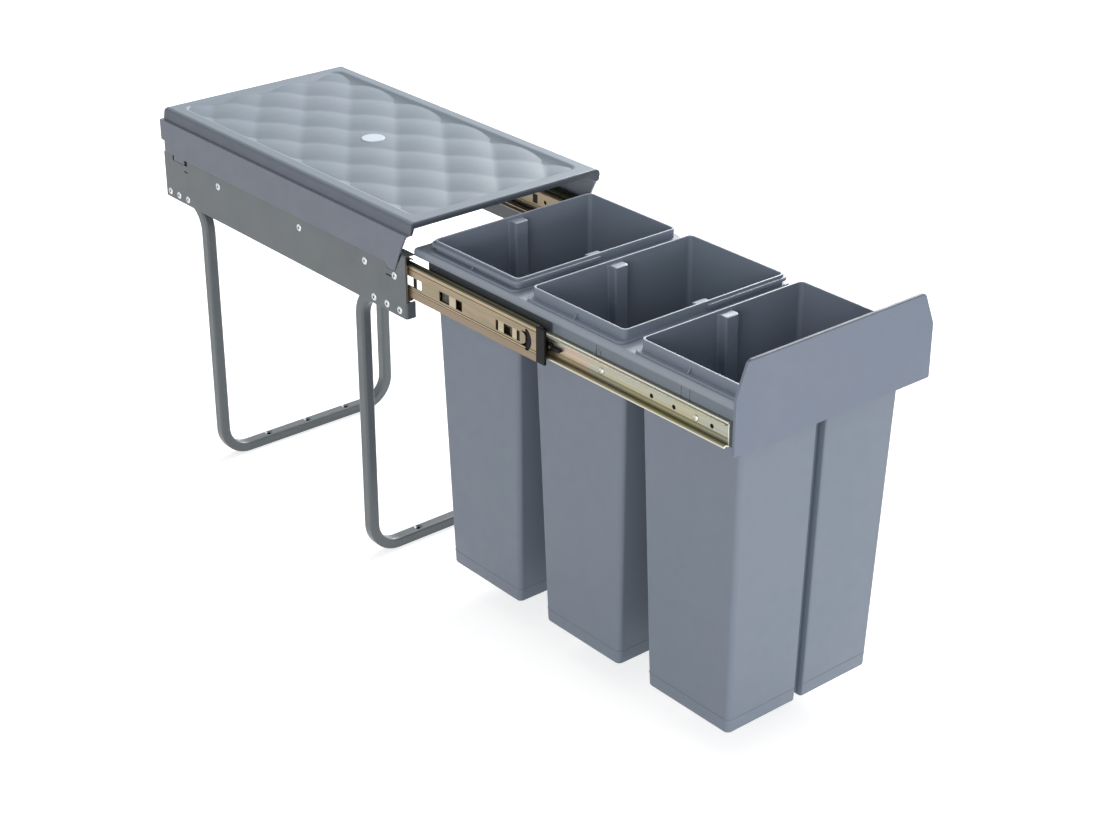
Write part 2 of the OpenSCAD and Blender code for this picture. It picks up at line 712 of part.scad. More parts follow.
module carrier_frame() color("#7f868e") {
    base = deck_z - carrier_h;
    difference() {
        union() {
            difference() {
                along_y(carrier_front, carrier_rear) carrier_section();
                translate([-carrier_x + carrier_wall, carrier_front + carrier_wall, base - cut])
                    cube([2 * (carrier_x - carrier_wall), carrier_len - 2 * carrier_wall, carrier_h - deck_t + cut]);
                // behind the inner members the walls are no lower than the deck's edge
                translate([-carrier_x - cut, inner_front + inner_len, base - cut])
                    cube([2 * (carrier_x + cut), carrier_len, carrier_h - deck_edge + cut]);
            }
            difference() {
                openings(lip_t, deck_z - lip_h, deck_z - deck_t / 2);
                openings(0, deck_z - lip_h - cut, deck_z);
            }
            for (m = [0, 1]) mirror([m, 0, 0]) translate([-carrier_x - boss_h, inner_front + boss_place, boss_z])
                rotate([0, 90, 0]) cylinder(r = boss_r, h = boss_h + carrier_wall / 2);
        }
        openings(0, base, deck_z + cut);
        for (m = [0, 1], y = screw_places) mirror([m, 0, 0]) translate([-carrier_x - cut, inner_front + y, slide_z])
            rotate([0, 90, 0]) cylinder(r = screw_r + fit, h = carrier_wall + 2 * cut);
        for (m = [0, 1], y = seam_places) mirror([m, 0, 0])
            translate([-carrier_x - cut, inner_front + y, base - cut])
                cube([cut + seam_deep, seam_w, carrier_h - deck_edge]);
        for (p = panel_spots) translate([p[0], carrier_front - cut, p[1]]) rotate([-90, 0, 0])
            cylinder(r = post_r + fit, h = carrier_wall + 2 * cut);
    }
}

module panel_outline() hull() for (m = [-1, 1]) {
    translate([m * (panel_w / 2 - panel_low_r), panel_z + panel_low_r]) circle(panel_low_r, $fn = hull_fn);
    translate([m * (panel_w / 2 - panel_corner_r), panel_z + panel_kink]) circle(panel_corner_r, $fn = hull_fn);
    translate([m * (panel_w / 2 - panel_lean - panel_corner_r), panel_z + panel_h - panel_corner_r])
        circle(panel_corner_r, $fn = hull_fn);
}

module front_panel() color("#8b93a0") difference() {
    union() {
        along_y(carrier_front - panel_t, carrier_front) panel_outline();
        for (p = panel_spots) translate([p[0], carrier_front - panel_t / 2, p[1]]) rotate([-90, 0, 0])
            cylinder(r = post_r, h = panel_t / 2 + carrier_wall);
    }
    for (p = panel_spots) translate([p[0], carrier_front - panel_t / 2, p[1]]) rotate([-90, 0, 0])
        cylinder(r = screw_r + fit, h = panel_t / 2 + carrier_wall + cut);
}

module panel_screws() color("#c9ccce") for (p = panel_spots)
    translate([p[0], carrier_front + carrier_wall, p[1]]) rotate([0, 0, -90]) screw(carrier_wall + panel_t / 3);

// bins, drawn round their own centre

module slab(z, w, l, r, t) translate([0, 0, z]) linear_extrude(t) round_rect(w, l, r, $fn = hull_fn);

// the tapered body, moved in by the wall for the inside
module bin_body(wall, z0, z1) {
    share = (z1 - bin_z) / bin_h;
    w = bin_w - taper_w - 2 * wall;
    l = bin_l - taper_l - 2 * wall;
    r = bin_corner - wall / 2;
    hull() {
        slab(z0, w - 2 * bin_foot_r, l - 2 * bin_foot_r, r - bin_foot_r / 2, thin);
        slab(z0 + bin_foot_r, w, l, r, thin);
        slab(z1 - thin, w + share * taper_w, l + share * taper_l, r, thin);
    }
}

// the groove in the rear wall, or with grow the pillar that closes it on the inside
module groove(grow, z0, z1) {
    out_y = bin_l / 2 + bin_wall;
    w0 = groove_w_at(z0) + grow;
    w1 = groove_w_at(z1) + grow;
    intersection() {
        along_x(-w1, w1) polygon([[groove_y_at(z0) - grow, z0], [out_y, z0], [out_y, z1], [groove_y_at(z1) - grow, z1]]);
        along_y(0, out_y) polygon([[-w0, z0], [w0, z0], [w1, z1], [-w1, z1]]);
    }
}

// half width of the groove, and the place of its back, at height z
function bin_share_at(z) = (z - bin_z) / bin_h;
function groove_share_at(z) = groove_foot_share + (1 - groove_foot_share) * bin_share_at(z);
function groove_w_at(z) = groove_w / 2 * groove_share_at(z);
function groove_y_at(z) = (bin_l - taper_l * (1 - bin_share_at(z))) / 2 - groove_d * groove_share_at(z);

module bin_rim() {
    outer_l = bin_l + 2 * flange_l;
    translate([0, 0, deck_z]) linear_extrude(flange_t) round_rect(bin_w + 2 * flange_w, outer_l, bin_corner + flange_l);
    intersection() {
        translate([0, 0, rim_z - bead_drop]) linear_extrude(bead_h)
            round_rect(bin_w + 2 * bead_w, outer_l, bin_corner + flange_l);
        translate([0, -bin_l, rim_z - bead_drop]) cube([bin_w, 2 * bin_l, bead_h]);
    }
    for (m = [0, 1]) mirror([m, 0, 0]) translate([bin_w / 2, gusset_t / 2, deck_z + flange_t]) rotate([90, 0, 0])
        linear_extrude(gusset_t) polygon([[-gusset_t, 0], [gusset_w, 0], [-gusset_t, gusset_h]]);
}

module bin_form() {
    cap = rim_z - cap_drop;
    line_share = mould_line_z / bin_h;
    difference() {
        union() {
            bin_body(0, bin_z, rim_z);
            bin_rim();
            translate([0, 0, bin_z + mould_line_z]) linear_extrude(mould_line_h)
                round_rect(bin_w - taper_w * (1 - line_share) + 2 * mould_line,
                    bin_l - taper_l * (1 - line_share) + 2 * mould_line, bin_corner);
        }
        difference() {
            bin_body(bin_wall, bin_z + bin_wall, rim_z + cut);
            for (m = [0, 1]) mirror([0, m, 0]) groove(bin_wall, bin_z - cut, cap);
        }
        for (m = [0, 1]) mirror([0, m, 0]) groove(0, bin_z - cut, cap - bin_wall);
    }
}

module bin(i, turn) color("#7d848c") translate([0, bin_ys[i], 0]) rotate([0, 0, turn]) bin_form();

side_plate(-1);  // side_plate_left
side_plate(1);  // side_plate_right
front_leg();
rear_leg();
plate_rivets(-1);  // plate_rivets_left
plate_rivets(1);  // plate_rivets_right
lid();
slide_outer(-1);  // slide_outer_left
slide_outer(1);  // slide_outer_right
rear_buffer(-1);  // rear_buffer_left
rear_buffer(1);  // rear_buffer_right
slide_mid(-1);  // slide_mid_left
slide_mid(1);  // slide_mid_right
mid_bumper(-1);  // mid_bumper_left
mid_bumper(1);  // mid_bumper_right
outer_cage(-1);  // outer_cage_left
outer_cage(1);  // outer_cage_right
outer_balls(-1);  // outer_balls_left
outer_balls(1);  // outer_balls_right
inner_cage(-1);  // inner_cage_left
inner_cage(1);  // inner_cage_right
inner_balls(-1);  // inner_balls_left
inner_balls(1);  // inner_balls_right
slide_inner(-1);  // slide_inner_left
slide_inner(1);  // slide_inner_right
disconnect_lever(-1);  // disconnect_lever_left
disconnect_lever(1);  // disconnect_lever_right
carrier_screws(-1);  // carrier_screws_left
carrier_screws(1);  // carrier_screws_right
carrier_frame();
front_panel();
panel_screws();
bin(2, 180);  // bin_rear
bin(1, 0);  // bin_middle
bin(0, 0);  // bin_front
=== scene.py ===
import math

import bmesh
import bpy
from mathutils import Matrix, Vector


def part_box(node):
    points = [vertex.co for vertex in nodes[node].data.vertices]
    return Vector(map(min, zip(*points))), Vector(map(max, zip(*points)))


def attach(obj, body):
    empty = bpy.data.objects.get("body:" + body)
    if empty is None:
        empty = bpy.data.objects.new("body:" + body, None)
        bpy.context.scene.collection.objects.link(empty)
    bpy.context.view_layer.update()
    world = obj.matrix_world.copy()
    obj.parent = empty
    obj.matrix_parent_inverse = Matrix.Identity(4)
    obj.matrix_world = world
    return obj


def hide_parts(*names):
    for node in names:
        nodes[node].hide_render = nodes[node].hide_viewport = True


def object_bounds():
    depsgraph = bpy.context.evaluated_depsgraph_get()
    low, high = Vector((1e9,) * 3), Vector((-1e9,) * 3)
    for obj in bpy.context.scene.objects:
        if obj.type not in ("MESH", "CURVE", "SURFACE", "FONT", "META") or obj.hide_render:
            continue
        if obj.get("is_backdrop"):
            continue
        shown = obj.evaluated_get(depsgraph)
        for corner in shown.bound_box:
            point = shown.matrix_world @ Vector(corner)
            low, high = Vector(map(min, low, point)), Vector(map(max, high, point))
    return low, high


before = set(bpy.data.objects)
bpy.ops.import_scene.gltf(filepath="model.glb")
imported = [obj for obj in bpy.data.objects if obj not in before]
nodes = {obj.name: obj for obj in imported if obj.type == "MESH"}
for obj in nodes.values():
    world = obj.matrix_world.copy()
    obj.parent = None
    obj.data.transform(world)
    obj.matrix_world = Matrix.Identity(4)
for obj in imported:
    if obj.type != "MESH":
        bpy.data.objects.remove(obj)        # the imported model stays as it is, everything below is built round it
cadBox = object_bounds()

mm = 0.001
xAxis, yAxis, zAxis = 0, 1, 2
sides = (("left", -1), ("right", 1))


# Small helpers for node trees

def wire(tree, node, sockets):
    for name, value in sockets.items():
        socket = node.inputs[name]
        if isinstance(value, bpy.types.NodeSocket):
            tree.links.new(value, socket)
        else:
            socket.default_value = value


def addNode(tree, kind, sockets=None, **settings):
    node = tree.nodes.new(kind)
    for name, value in settings.items():
        setattr(node, name, value)
    wire(tree, node, sockets or {})
    return node


def maths(tree, operation, a, b=0.0):
    return addNode(tree, "ShaderNodeMath", {0: a, 1: b}, operation=operation).outputs[0]


def rgb(red, green, blue):
    def linear(value):
        value /= 255
        return value / 12.92 if value <= 0.04045 else ((value + 0.055) / 1.055) ** 2.4
    return (linear(red), linear(green), linear(blue), 1.0)


# Materials, all on object coordinates

def startMaterial(name):
    material = bpy.data.materials.new(name)
    material.use_nodes = True
    tree = material.node_tree
    place = addNode(tree, "ShaderNodeTexCoord").outputs["Object"]
    return material, tree, tree.nodes["Principled BSDF"], place


def noise(tree, place, scale, detail=2.0, roughness=0.5, stretch=(1, 1, 1)):
    mapped = addNode(tree, "ShaderNodeMapping", {"Vector": place, "Scale": stretch}).outputs[0]
    sockets = {"Vector": mapped, "Scale": scale, "Detail": detail, "Roughness": roughness}
    return addNode(tree, "ShaderNodeTexNoise", sockets).outputs[0]


def spread(tree, value, low, high, fromLow=0.3, fromHigh=0.7):
    return addNode(tree, "ShaderNodeMapRange", {
        "Value": value, "From Min": fromLow, "From Max": fromHigh, "To Min": low, "To Max": high}).outputs[0]


def mixColour(tree, factor, first, second):
    node = addNode(tree, "ShaderNodeMix", data_type="RGBA")
    wire(tree, node, {0: factor, 6: first, 7: second})
    return node.outputs[2]


def bump(tree, height, distance, normal=None):
    below = {} if normal is None else {"Normal": normal}
    return addNode(tree, "ShaderNodeBump", {"Height": height, "Distance": distance} | below).outputs[0]


def within(tree, value, low, high, soft):
    # 1 between low and high, 0 outside, None for an open end
    factor = None
    for limit, sign in ((low, 1), (high, -1)):
        if limit is not None:
            step = spread(tree, value, 0.0, 1.0, limit - sign * soft, limit + sign * soft)
            factor = step if factor is None else maths(tree, "MULTIPLY", factor, step)
    return factor


def banded(tree, colour, place, bands):
    # a band is (limits, strength, colour), and each of its limits (axis, low, high, softness) in millimetres
    axes = addNode(tree, "ShaderNodeSeparateXYZ", {0: place}).outputs
    for limits, strength, shade in bands:
        factor = strength
        for axis, low, high, soft in limits:
            low, high = (None if end is None else end * mm for end in (low, high))
            factor = maths(tree, "MULTIPLY", within(tree, axes[axis], low, high, soft * mm), factor)
        colour = mixColour(tree, factor, colour, shade)
    return colour


def mouldedPlastic(name, look):
    material, tree, surface, place = startMaterial(name)
    cloud = noise(tree, place, look["cloudScale"], look["cloudDetail"])
    colour = mixColour(tree, spread(tree, cloud, 0.0, 1.0), look["colour"], look["second"])
    dots = noise(tree, place, look["speckScale"], look["speckDetail"])
    specks = spread(tree, dots, 0.0, look["speck"], *look["speckSpan"])
    colour = mixColour(tree, specks, colour, look["speckColour"])
    colour = banded(tree, colour, place, look["bands"])
    ripple = bump(tree, noise(tree, place, look["rippleScale"], look["rippleDetail"]), look["ripple"])
    grain = noise(tree, place, look["grainScale"], look["grainDetail"], look["grainRough"])
    wire(tree, surface, {
        "Base Color": colour,
        "Roughness": spread(tree, noise(tree, place, look["polishScale"]), look["smooth"], look["dull"]),
        "Normal": bump(tree, grain, look["grain"], ripple),
        "Specular IOR Level": look["gloss"],
    })
    return material


plastic = {
    "cloudScale": 7.0, "cloudDetail": 3.0, "bands": (), "speckColour": rgb(190, 196, 206),
    "speckScale": 900.0, "speckDetail": 1.0, "speckSpan": (0.62, 0.8), "speck": 0.06,
    "grainScale": 2600.0, "grainDetail": 3.0, "grainRough": 0.6, "grain": 0.00003,
    "rippleScale": 14.0, "rippleDetail": 1.0, "ripple": 0.0006,
    "polishScale": 60.0, "smooth": 0.40, "dull": 0.52, "gloss": 0.45,
}
binPlastic = mouldedPlastic("bin plastic", plastic | {
    "colour": rgb(119, 127, 141), "second": rgb(115, 127, 140),
    "bands": (([(zAxis, 397.6, None, 0.15)], 0.5, rgb(176, 184, 194)),)})     # painted highlight along the top of the rim
carrierPlastic = mouldedPlastic("carrier plastic", plastic | {
    "colour": rgb(112, 120, 131), "second": rgb(108, 119, 129),
    "bands": (
        ([(zAxis, 378.8, None, 1.0)], 0.8, rgb(150, 157, 168)),               # deck and its edge lighter: painted light on the top
        ([(zAxis, None, 367.6, 0.5)], 0.85, rgb(38, 42, 46)),                 # painted shade in the corner over the inner members
        # painted shadow below the deck's edge, rearwards from near the front
        ([(zAxis, None, 377.6, 0.6), (yAxis, -447.0, None, 1.5)], 0.85, rgb(38, 42, 44)),
    )})
panelPlastic = mouldedPlastic("panel plastic", plastic | {
    "colour": rgb(122, 129, 145), "second": rgb(116, 127, 142), "smooth": 0.5, "dull": 0.6, "gloss": 0.25,
    "bands": (([(zAxis, 428.6, None, 0.4)], 0.75, rgb(78, 84, 96)),)})        # upper edge darker: painted shade against the light on its top
lidPlastic = mouldedPlastic("lid plastic", plastic | {
    "colour": rgb(122, 131, 142), "second": rgb(117, 130, 140), "smooth": 0.44, "dull": 0.54,
    "bands": (
        # painted shade on the skirt, on both sides above the ledge and on the front lip
        ([(zAxis, None, 409.0, 1.0)], 0.85, rgb(112, 116, 129)),
        ([(zAxis, 402.8, 415.4, 0.6), (xAxis, None, -114.0, 0.5)], 0.9, rgb(90, 96, 109)),
        ([(zAxis, 402.8, 415.4, 0.6), (xAxis, 114.0, None, 0.5)], 0.9, rgb(90, 96, 109)),
        ([(yAxis, None, -243.9, 0.35)], 0.92, rgb(48, 57, 67)),
    )})
blackPlastic = mouldedPlastic("black plastic", plastic | {
    "colour": rgb(18, 18, 21), "second": rgb(13, 13, 15), "speck": 0.02, "ripple": 0.0003, "gloss": 0.16})
discPlastic = mouldedPlastic("disc plastic", plastic | {
    "colour": rgb(196, 205, 214), "second": rgb(189, 200, 211), "speck": 0.0, "ripple": 0.0002})


def paintedSteel(name, look):
    material, tree, surface, place = startMaterial(name)
    cloud = noise(tree, place, look["cloudScale"])
    wire(tree, surface, {
        "Base Color": mixColour(tree, spread(tree, cloud, 0.0, 1.0), look["colour"], look["second"]),
        "Roughness": spread(tree, noise(tree, place, look["polishScale"]), look["smooth"], look["dull"]),
        "Normal": bump(tree, noise(tree, place, look["peelScale"]), look["peel"]),
        "Coat Weight": look["coat"],
        "Coat Roughness": look["coatRough"],
    })
    return material


paint = {
    "cloudScale": 9.0, "polishScale": 35.0, "peelScale": 700.0, "peel": 0.00005,
    "smooth": 0.36, "dull": 0.48, "coat": 0.15, "coatRough": 0.25,
}
platePaint = paintedSteel("plate paint", paint | {"colour": rgb(86, 92, 98), "second": rgb(84, 93, 95)})
tubePaint = paintedSteel("tube paint", paint | {"colour": rgb(92, 97, 101), "second": rgb(90, 99, 103)})


def platedSteel(name, look):
    material, tree, surface, place = startMaterial(name)
    drift = noise(
        tree, place, look["driftScale"], look["driftDetail"], look["driftRough"], look["driftStretch"])
    film = addNode(tree, "ShaderNodeValToRGB", {"Fac": drift})
    ramp = film.color_ramp
    for count, (position, colour) in enumerate(look["film"]):
        # a new ramp has a stop at each end, so these two come first
        stop = ramp.elements[count] if count < 2 else ramp.elements.new(position)
        stop.position = position
        stop.color = colour
    rolling = noise(tree, place, look["lineScale"], stretch=look["lineStretch"])
    lines = spread(tree, rolling, 0.0, look["lines"], *look["lineSpan"])
    colour = mixColour(tree, lines, film.outputs[0], look["lineColour"])
    wire(tree, surface, {
        "Base Color": banded(tree, colour, place, look["bands"]),
        "Metallic": look["metallic"],
        "Roughness": spread(tree, rolling, look["smooth"], look["dull"]),
        "Normal": bump(tree, rolling, look["lineDepth"]),
    })
    return material


zinc = {
    "driftScale": 34.0, "driftDetail": 3.0, "driftRough": 0.55, "driftStretch": (1.0, 0.22, 1.6), "bands": (),
    "lineScale": 900.0, "lineStretch": (1.0, 0.004, 1.0), "lineSpan": (0.35, 0.7), "lines": 0.35,
    "lineDepth": 0.00003, "lineColour": rgb(150, 140, 112), "metallic": 0.85, "smooth": 0.30, "dull": 0.42,
}
middlePlating = platedSteel("yellow zinc, middle member", zinc | {
    "film": ((0.30, rgb(144, 129, 101)), (0.75, rgb(157, 139, 114)), (0.45, rgb(157, 139, 118)),
             (0.55, rgb(140, 131, 107)), (0.64, rgb(160, 139, 121))),
    "bands": (
        ([(zAxis, 370.0, None, 0.25)], 0.9, rgb(60, 62, 46)),                  # upper flange in painted shade and dark reflection, partly grease; then painted highlights and painted shade along the seams
        ([(zAxis, 366.9, 370.0, 0.2)], 0.3, rgb(206, 182, 150)),
        ([(zAxis, 366.2, 367.0, 0.15)], 0.9, rgb(84, 76, 52)),
        ([(zAxis, 345.7, 346.8, 0.15)], 0.9, rgb(60, 54, 36)),
        ([(zAxis, 344.9, 345.7, 0.15)], 0.6, rgb(226, 214, 178)),
        ([(zAxis, 344.1, 344.9, 0.15)], 0.9, rgb(72, 64, 44)),
        ([(zAxis, None, 344.1, 0.2)], 0.7, rgb(134, 118, 100)),
    )})
innerPlating = platedSteel("yellow zinc, inner member", zinc | {
    "film": ((0.28, rgb(184, 176, 144)), (0.74, rgb(186, 182, 160)), (0.42, rgb(194, 170, 152)),
             (0.52, rgb(172, 178, 168)), (0.62, rgb(182, 176, 142))),
    "bands": (
        ([(zAxis, 364.6, None, 0.2)], 0.8, rgb(236, 234, 214)),                # painted highlights on the edges, painted shade on the lower bend
        ([(zAxis, 348.6, 350.6, 0.4)], 0.7, rgb(84, 80, 54)),
        ([(zAxis, None, 348.6, 0.3)], 0.5, rgb(112, 110, 78)),
        ([(zAxis, None, 343.3, 0.2)], 0.85, rgb(236, 234, 214)),
        ([(yAxis, None, -681.3, 0.15)], 0.95, rgb(250, 250, 244)),             # cut end
    )})
tabPlating = platedSteel("yellow zinc, lock tabs", zinc | {
    "film": ((0.30, rgb(178, 164, 140)), (0.75, rgb(170, 152, 132)), (0.55, rgb(186, 174, 152)))})


def plainMetal(name, look):
    material, tree, surface, place = startMaterial(name)
    patch = noise(tree, place, look["patchScale"], look["patchDetail"])
    wire(tree, surface, {
        "Base Color": mixColour(tree, spread(tree, patch, 0.0, 1.0), look["colour"], look["second"]),
        "Metallic": look["metallic"],
        "Roughness": spread(tree, patch, look["smooth"], look["dull"]),
        "Normal": bump(tree, patch, look["patch"]),
    })
    return material


bare = {"patchScale": 300.0, "patchDetail": 3.0, "patch": 0.00002}
rivetMetal = plainMetal("rivet aluminium", bare | {
    "colour": rgb(222, 224, 226), "second": rgb(204, 206, 210),
    "metallic": 0.85, "smooth": 0.28, "dull": 0.42})
coreMetal = plainMetal("rivet core", bare | {
    "colour": rgb(48, 50, 52), "second": rgb(34, 36, 38),
    "metallic": 0.6, "smooth": 0.5, "dull": 0.7})
cageMetal = plainMetal("cage steel", bare | {
    "colour": rgb(84, 82, 72), "second": rgb(62, 62, 54),
    "metallic": 0.8, "smooth": 0.4, "dull": 0.55})
ballMetal = plainMetal("ball steel", bare | {
    "colour": rgb(200, 200, 202), "second": rgb(188, 188, 190),
    "metallic": 1.0, "smooth": 0.12, "dull": 0.2})
screwMetal = plainMetal("screw steel", bare | {
    "colour": rgb(222, 222, 214), "second": rgb(196, 196, 184),
    "metallic": 0.9, "smooth": 0.26, "dull": 0.4})
print("materials made")


# Mesh helpers

weld = {"points": 0.001 * mm, "slivers": 0.0005 * mm, "packed": 0.002 * mm, "flat": math.radians(0.6)}


def makeObject(name, mesh):
    thing = bpy.data.objects.new(name, mesh)
    bpy.context.scene.collection.objects.link(thing)
    return thing


def meshFrom(name, points, faces):
    mesh = bpy.data.meshes.new(name)
    mesh.from_pydata([tuple(p) for p in points], [], faces)
    form = bmesh.new()
    form.from_mesh(mesh)
    bmesh.ops.remove_doubles(form, verts=form.verts, dist=weld["points"])
    bmesh.ops.dissolve_degenerate(form, edges=form.edges, dist=weld["slivers"])
    bmesh.ops.recalc_face_normals(form, faces=form.faces)
    form.to_mesh(mesh)
    form.free()
    return mesh


def loft(rings):
    # a skin over rings of equally many points, closed at both ends
    size, last = len(rings[0]), len(rings) - 1
    faces = []
    for near in range(0, last * size, size):
        far = near + size
        faces += [(near + j, near + (j + 1) % size, far + (j + 1) % size, far + j) for j in range(size)]
    faces += [tuple(range(size)), tuple(last * size + j for j in range(size))]
    return [point for ring in rings for point in ring], faces


def together(parts):
    points, faces = [], []
    for morePoints, moreFaces in parts:
        faces += [tuple(index + len(points) for index in face) for face in moreFaces]
        points += morePoints
    return points, faces


def block(low, high):
    # a plain box between two corners
    outline = ((low[0], low[1]), (high[0], low[1]), (high[0], high[1]), (low[0], high[1]))
    return loft([[Vector((x, y, z)) for x, y in outline] for z in (low[2], high[2])])


def sideBlock(out, x, y, z):
    # the same on the left or the right, x counted outwards, all in millimetres
    xs = sorted((out * x[0], out * x[1]))
    return block((xs[0] * mm, y[0] * mm, z[0] * mm), (xs[1] * mm, y[1] * mm, z[1] * mm))


def roundedLoop(halfX, halfY, radius, z, middle, steps=8):
    loop = []
    for quarter, (sideX, sideY) in enumerate(((1, -1), (1, 1), (-1, 1), (-1, -1))):
        for step in range(steps + 1):
            angle = math.radians(90 * (quarter - 1 + step / steps))
            loop.append(Vector((middle[0] + sideX * (halfX - radius) + radius * math.cos(angle),
                                middle[1] + sideY * (halfY - radius) + radius * math.sin(angle), z)))
    return loop


def quarterTurn(steps):
    return [math.pi / 2 * step / steps for step in range(steps + 1)]


def lathe(profile, steps=28):
    # profile points are (radius, height) in millimetres, and start and end on the axis
    turns = [2 * math.pi * step / steps for step in range(steps)]
    return loft([[Vector((radius * math.cos(turn), radius * math.sin(turn), z)) * mm for turn in turns]
                 for radius, z in profile])


def settle(thing, name):
    # what the modifiers make becomes a plain mesh of its own
    graph = bpy.context.evaluated_depsgraph_get()
    mesh = bpy.data.meshes.new_from_object(
        thing.evaluated_get(graph), preserve_all_data_layers=True, depsgraph=graph)
    bpy.data.objects.remove(thing)
    return makeObject(name, mesh)


def mergedCopy(nodeName):
    mesh = nodes[nodeName].data.copy()
    if "custom_normal" in mesh.attributes:
        mesh.attributes.remove(mesh.attributes["custom_normal"])
    form = bmesh.new()
    form.from_mesh(mesh)
    bmesh.ops.remove_doubles(form, verts=form.verts, dist=weld["packed"])
    form.to_mesh(mesh)
    form.free()
    return makeObject(nodeName + " copy", mesh)


def combine(thing, points, faces, operation):
    other = makeObject("other form", meshFrom("other form", points, faces))
    step = thing.modifiers.new("combine", "BOOLEAN")
    step.operation = operation
    step.solver = "EXACT"
    step.object = other
    result = settle(thing, thing.name + " combined")
    bpy.data.objects.remove(other)
    return result


def cutAway(thing, points, faces):
    return combine(thing, points, faces, "DIFFERENCE")


def crisp(thing, name, width, sharp=34.0, segments=2):
    # flat triangles become whole faces again, then each sharp edge is rounded
    form = bmesh.new()
    form.from_mesh(thing.data)
    bmesh.ops.dissolve_limit(form, angle_limit=weld["flat"], verts=form.verts, edges=form.edges)
    form.to_mesh(thing.data)
    form.free()
    thing.data.shade_smooth()
    edges = thing.modifiers.new("edges", "BEVEL")
    edges.width = width
    edges.segments = segments
    edges.limit_method = "ANGLE"
    edges.angle_limit = math.radians(sharp)
    edges.harden_normals = True
    return evenShading(thing, name)


def evenShading(thing, name, sharp=60.0):
    # broad faces keep their flat look beside narrow rounded ones
    thing.data.shade_smooth()
    thing.data.set_sharp_from_angle(angle=math.radians(sharp))
    weight = thing.modifiers.new("normals", "WEIGHTED_NORMAL")
    weight.keep_sharp = True
    return settle(thing, name)


def dress(thing, body, slotName, material, replaced=()):
    thing.data.materials.clear()
    thing.data.materials.append(material)
    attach(thing, body)
    if replaced:
        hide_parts(*replaced)
    return thing


def repaint(nodeName, material):
    thing = nodes[nodeName]
    for slot in thing.material_slots:
        slot.material = material


def solidsOf(nodeName):
    # lowest and highest corner of each separate solid of a node, always in the same order
    copy = mergedCopy(nodeName)
    form = bmesh.new()
    form.from_mesh(copy.data)
    left, found = set(form.verts), []
    while left:
        patch, waiting = [], [left.pop()]
        while waiting:
            vertex = waiting.pop()
            patch.append(vertex.co.copy())
            for edge in vertex.link_edges:
                other = edge.other_vert(vertex)
                if other in left:
                    left.remove(other)
                    waiting.append(other)
        found.append((Vector(map(min, *patch)), Vector(map(max, *patch))))
    form.free()
    bpy.data.objects.remove(copy)
    return sorted(found, key=lambda pair: [round(pair[0][axis], 5) for axis in (yAxis, zAxis, xAxis)])


# Geometry Nodes: shapes set out on places, and the quilting

def startTree(name, inputs):
    tree = bpy.data.node_groups.new(name, "GeometryNodeTree")
    tree.is_modifier = True
    tree.interface.new_socket(name="Geometry", in_out="INPUT", socket_type="NodeSocketGeometry")
    for label, kind, value in inputs:
        socket = tree.interface.new_socket(name=label, in_out="INPUT", socket_type=kind)
        if value is not None:
            socket.default_value = value
    tree.interface.new_socket(name="Geometry", in_out="OUTPUT", socket_type="NodeSocketGeometry")
    return tree, addNode(tree, "NodeGroupInput").outputs, addNode(tree, "NodeGroupOutput")


def endTree(tree, end, geometry, finish):
    real = addNode(tree, "GeometryNodeRealizeInstances", {"Geometry": geometry}).outputs[0]
    painted = addNode(tree, "GeometryNodeSetMaterial", {"Geometry": real, "Material": finish}).outputs[0]
    wire(tree, end, {"Geometry": painted})


def grow(tree, name, start, values):
    sockets = {item.name: item.identifier for item in tree.interface.items_tree if item.in_out == "INPUT"}
    thing = makeObject(name + " start", start)
    modifier = thing.modifiers.new(name, "NODES")
    modifier.node_group = tree
    for label, value in values.items():
        modifier[sockets[label]] = value
    return settle(thing, name)


def setOutTree():
    tree, given, end = startTree("set out on places", [
        ("Shape", "NodeSocketObject", None), ("Spin Seed", "NodeSocketInt", 1),
        ("Finish", "NodeSocketMaterial", None)])
    facing = addNode(
        tree, "GeometryNodeInputNamedAttribute", {"Name": "facing"}, data_type="FLOAT_VECTOR").outputs[0]
    aimed = addNode(tree, "FunctionNodeAlignRotationToVector", {"Vector": facing}, axis="Z").outputs[0]
    turn = addNode(tree, "FunctionNodeRandomValue", {
        2: 0.0, 3: 2 * math.pi, "Seed": given["Spin Seed"]}, data_type="FLOAT")
    spin = addNode(
        tree, "FunctionNodeAxisAngleToRotation", {"Axis": (0, 0, 1), "Angle": turn.outputs[1]}).outputs[0]
    turned = addNode(
        tree, "FunctionNodeRotateRotation", {"Rotation": aimed, "Rotate By": spin}, rotation_space="LOCAL")
    shape = addNode(tree, "GeometryNodeObjectInfo", {"Object": given["Shape"]}).outputs["Geometry"]
    copies = addNode(tree, "GeometryNodeInstanceOnPoints", {
        "Points": given["Geometry"], "Instance": shape, "Rotation": turned.outputs[0]}).outputs[0]
    endTree(tree, end, copies, given["Finish"])
    return tree


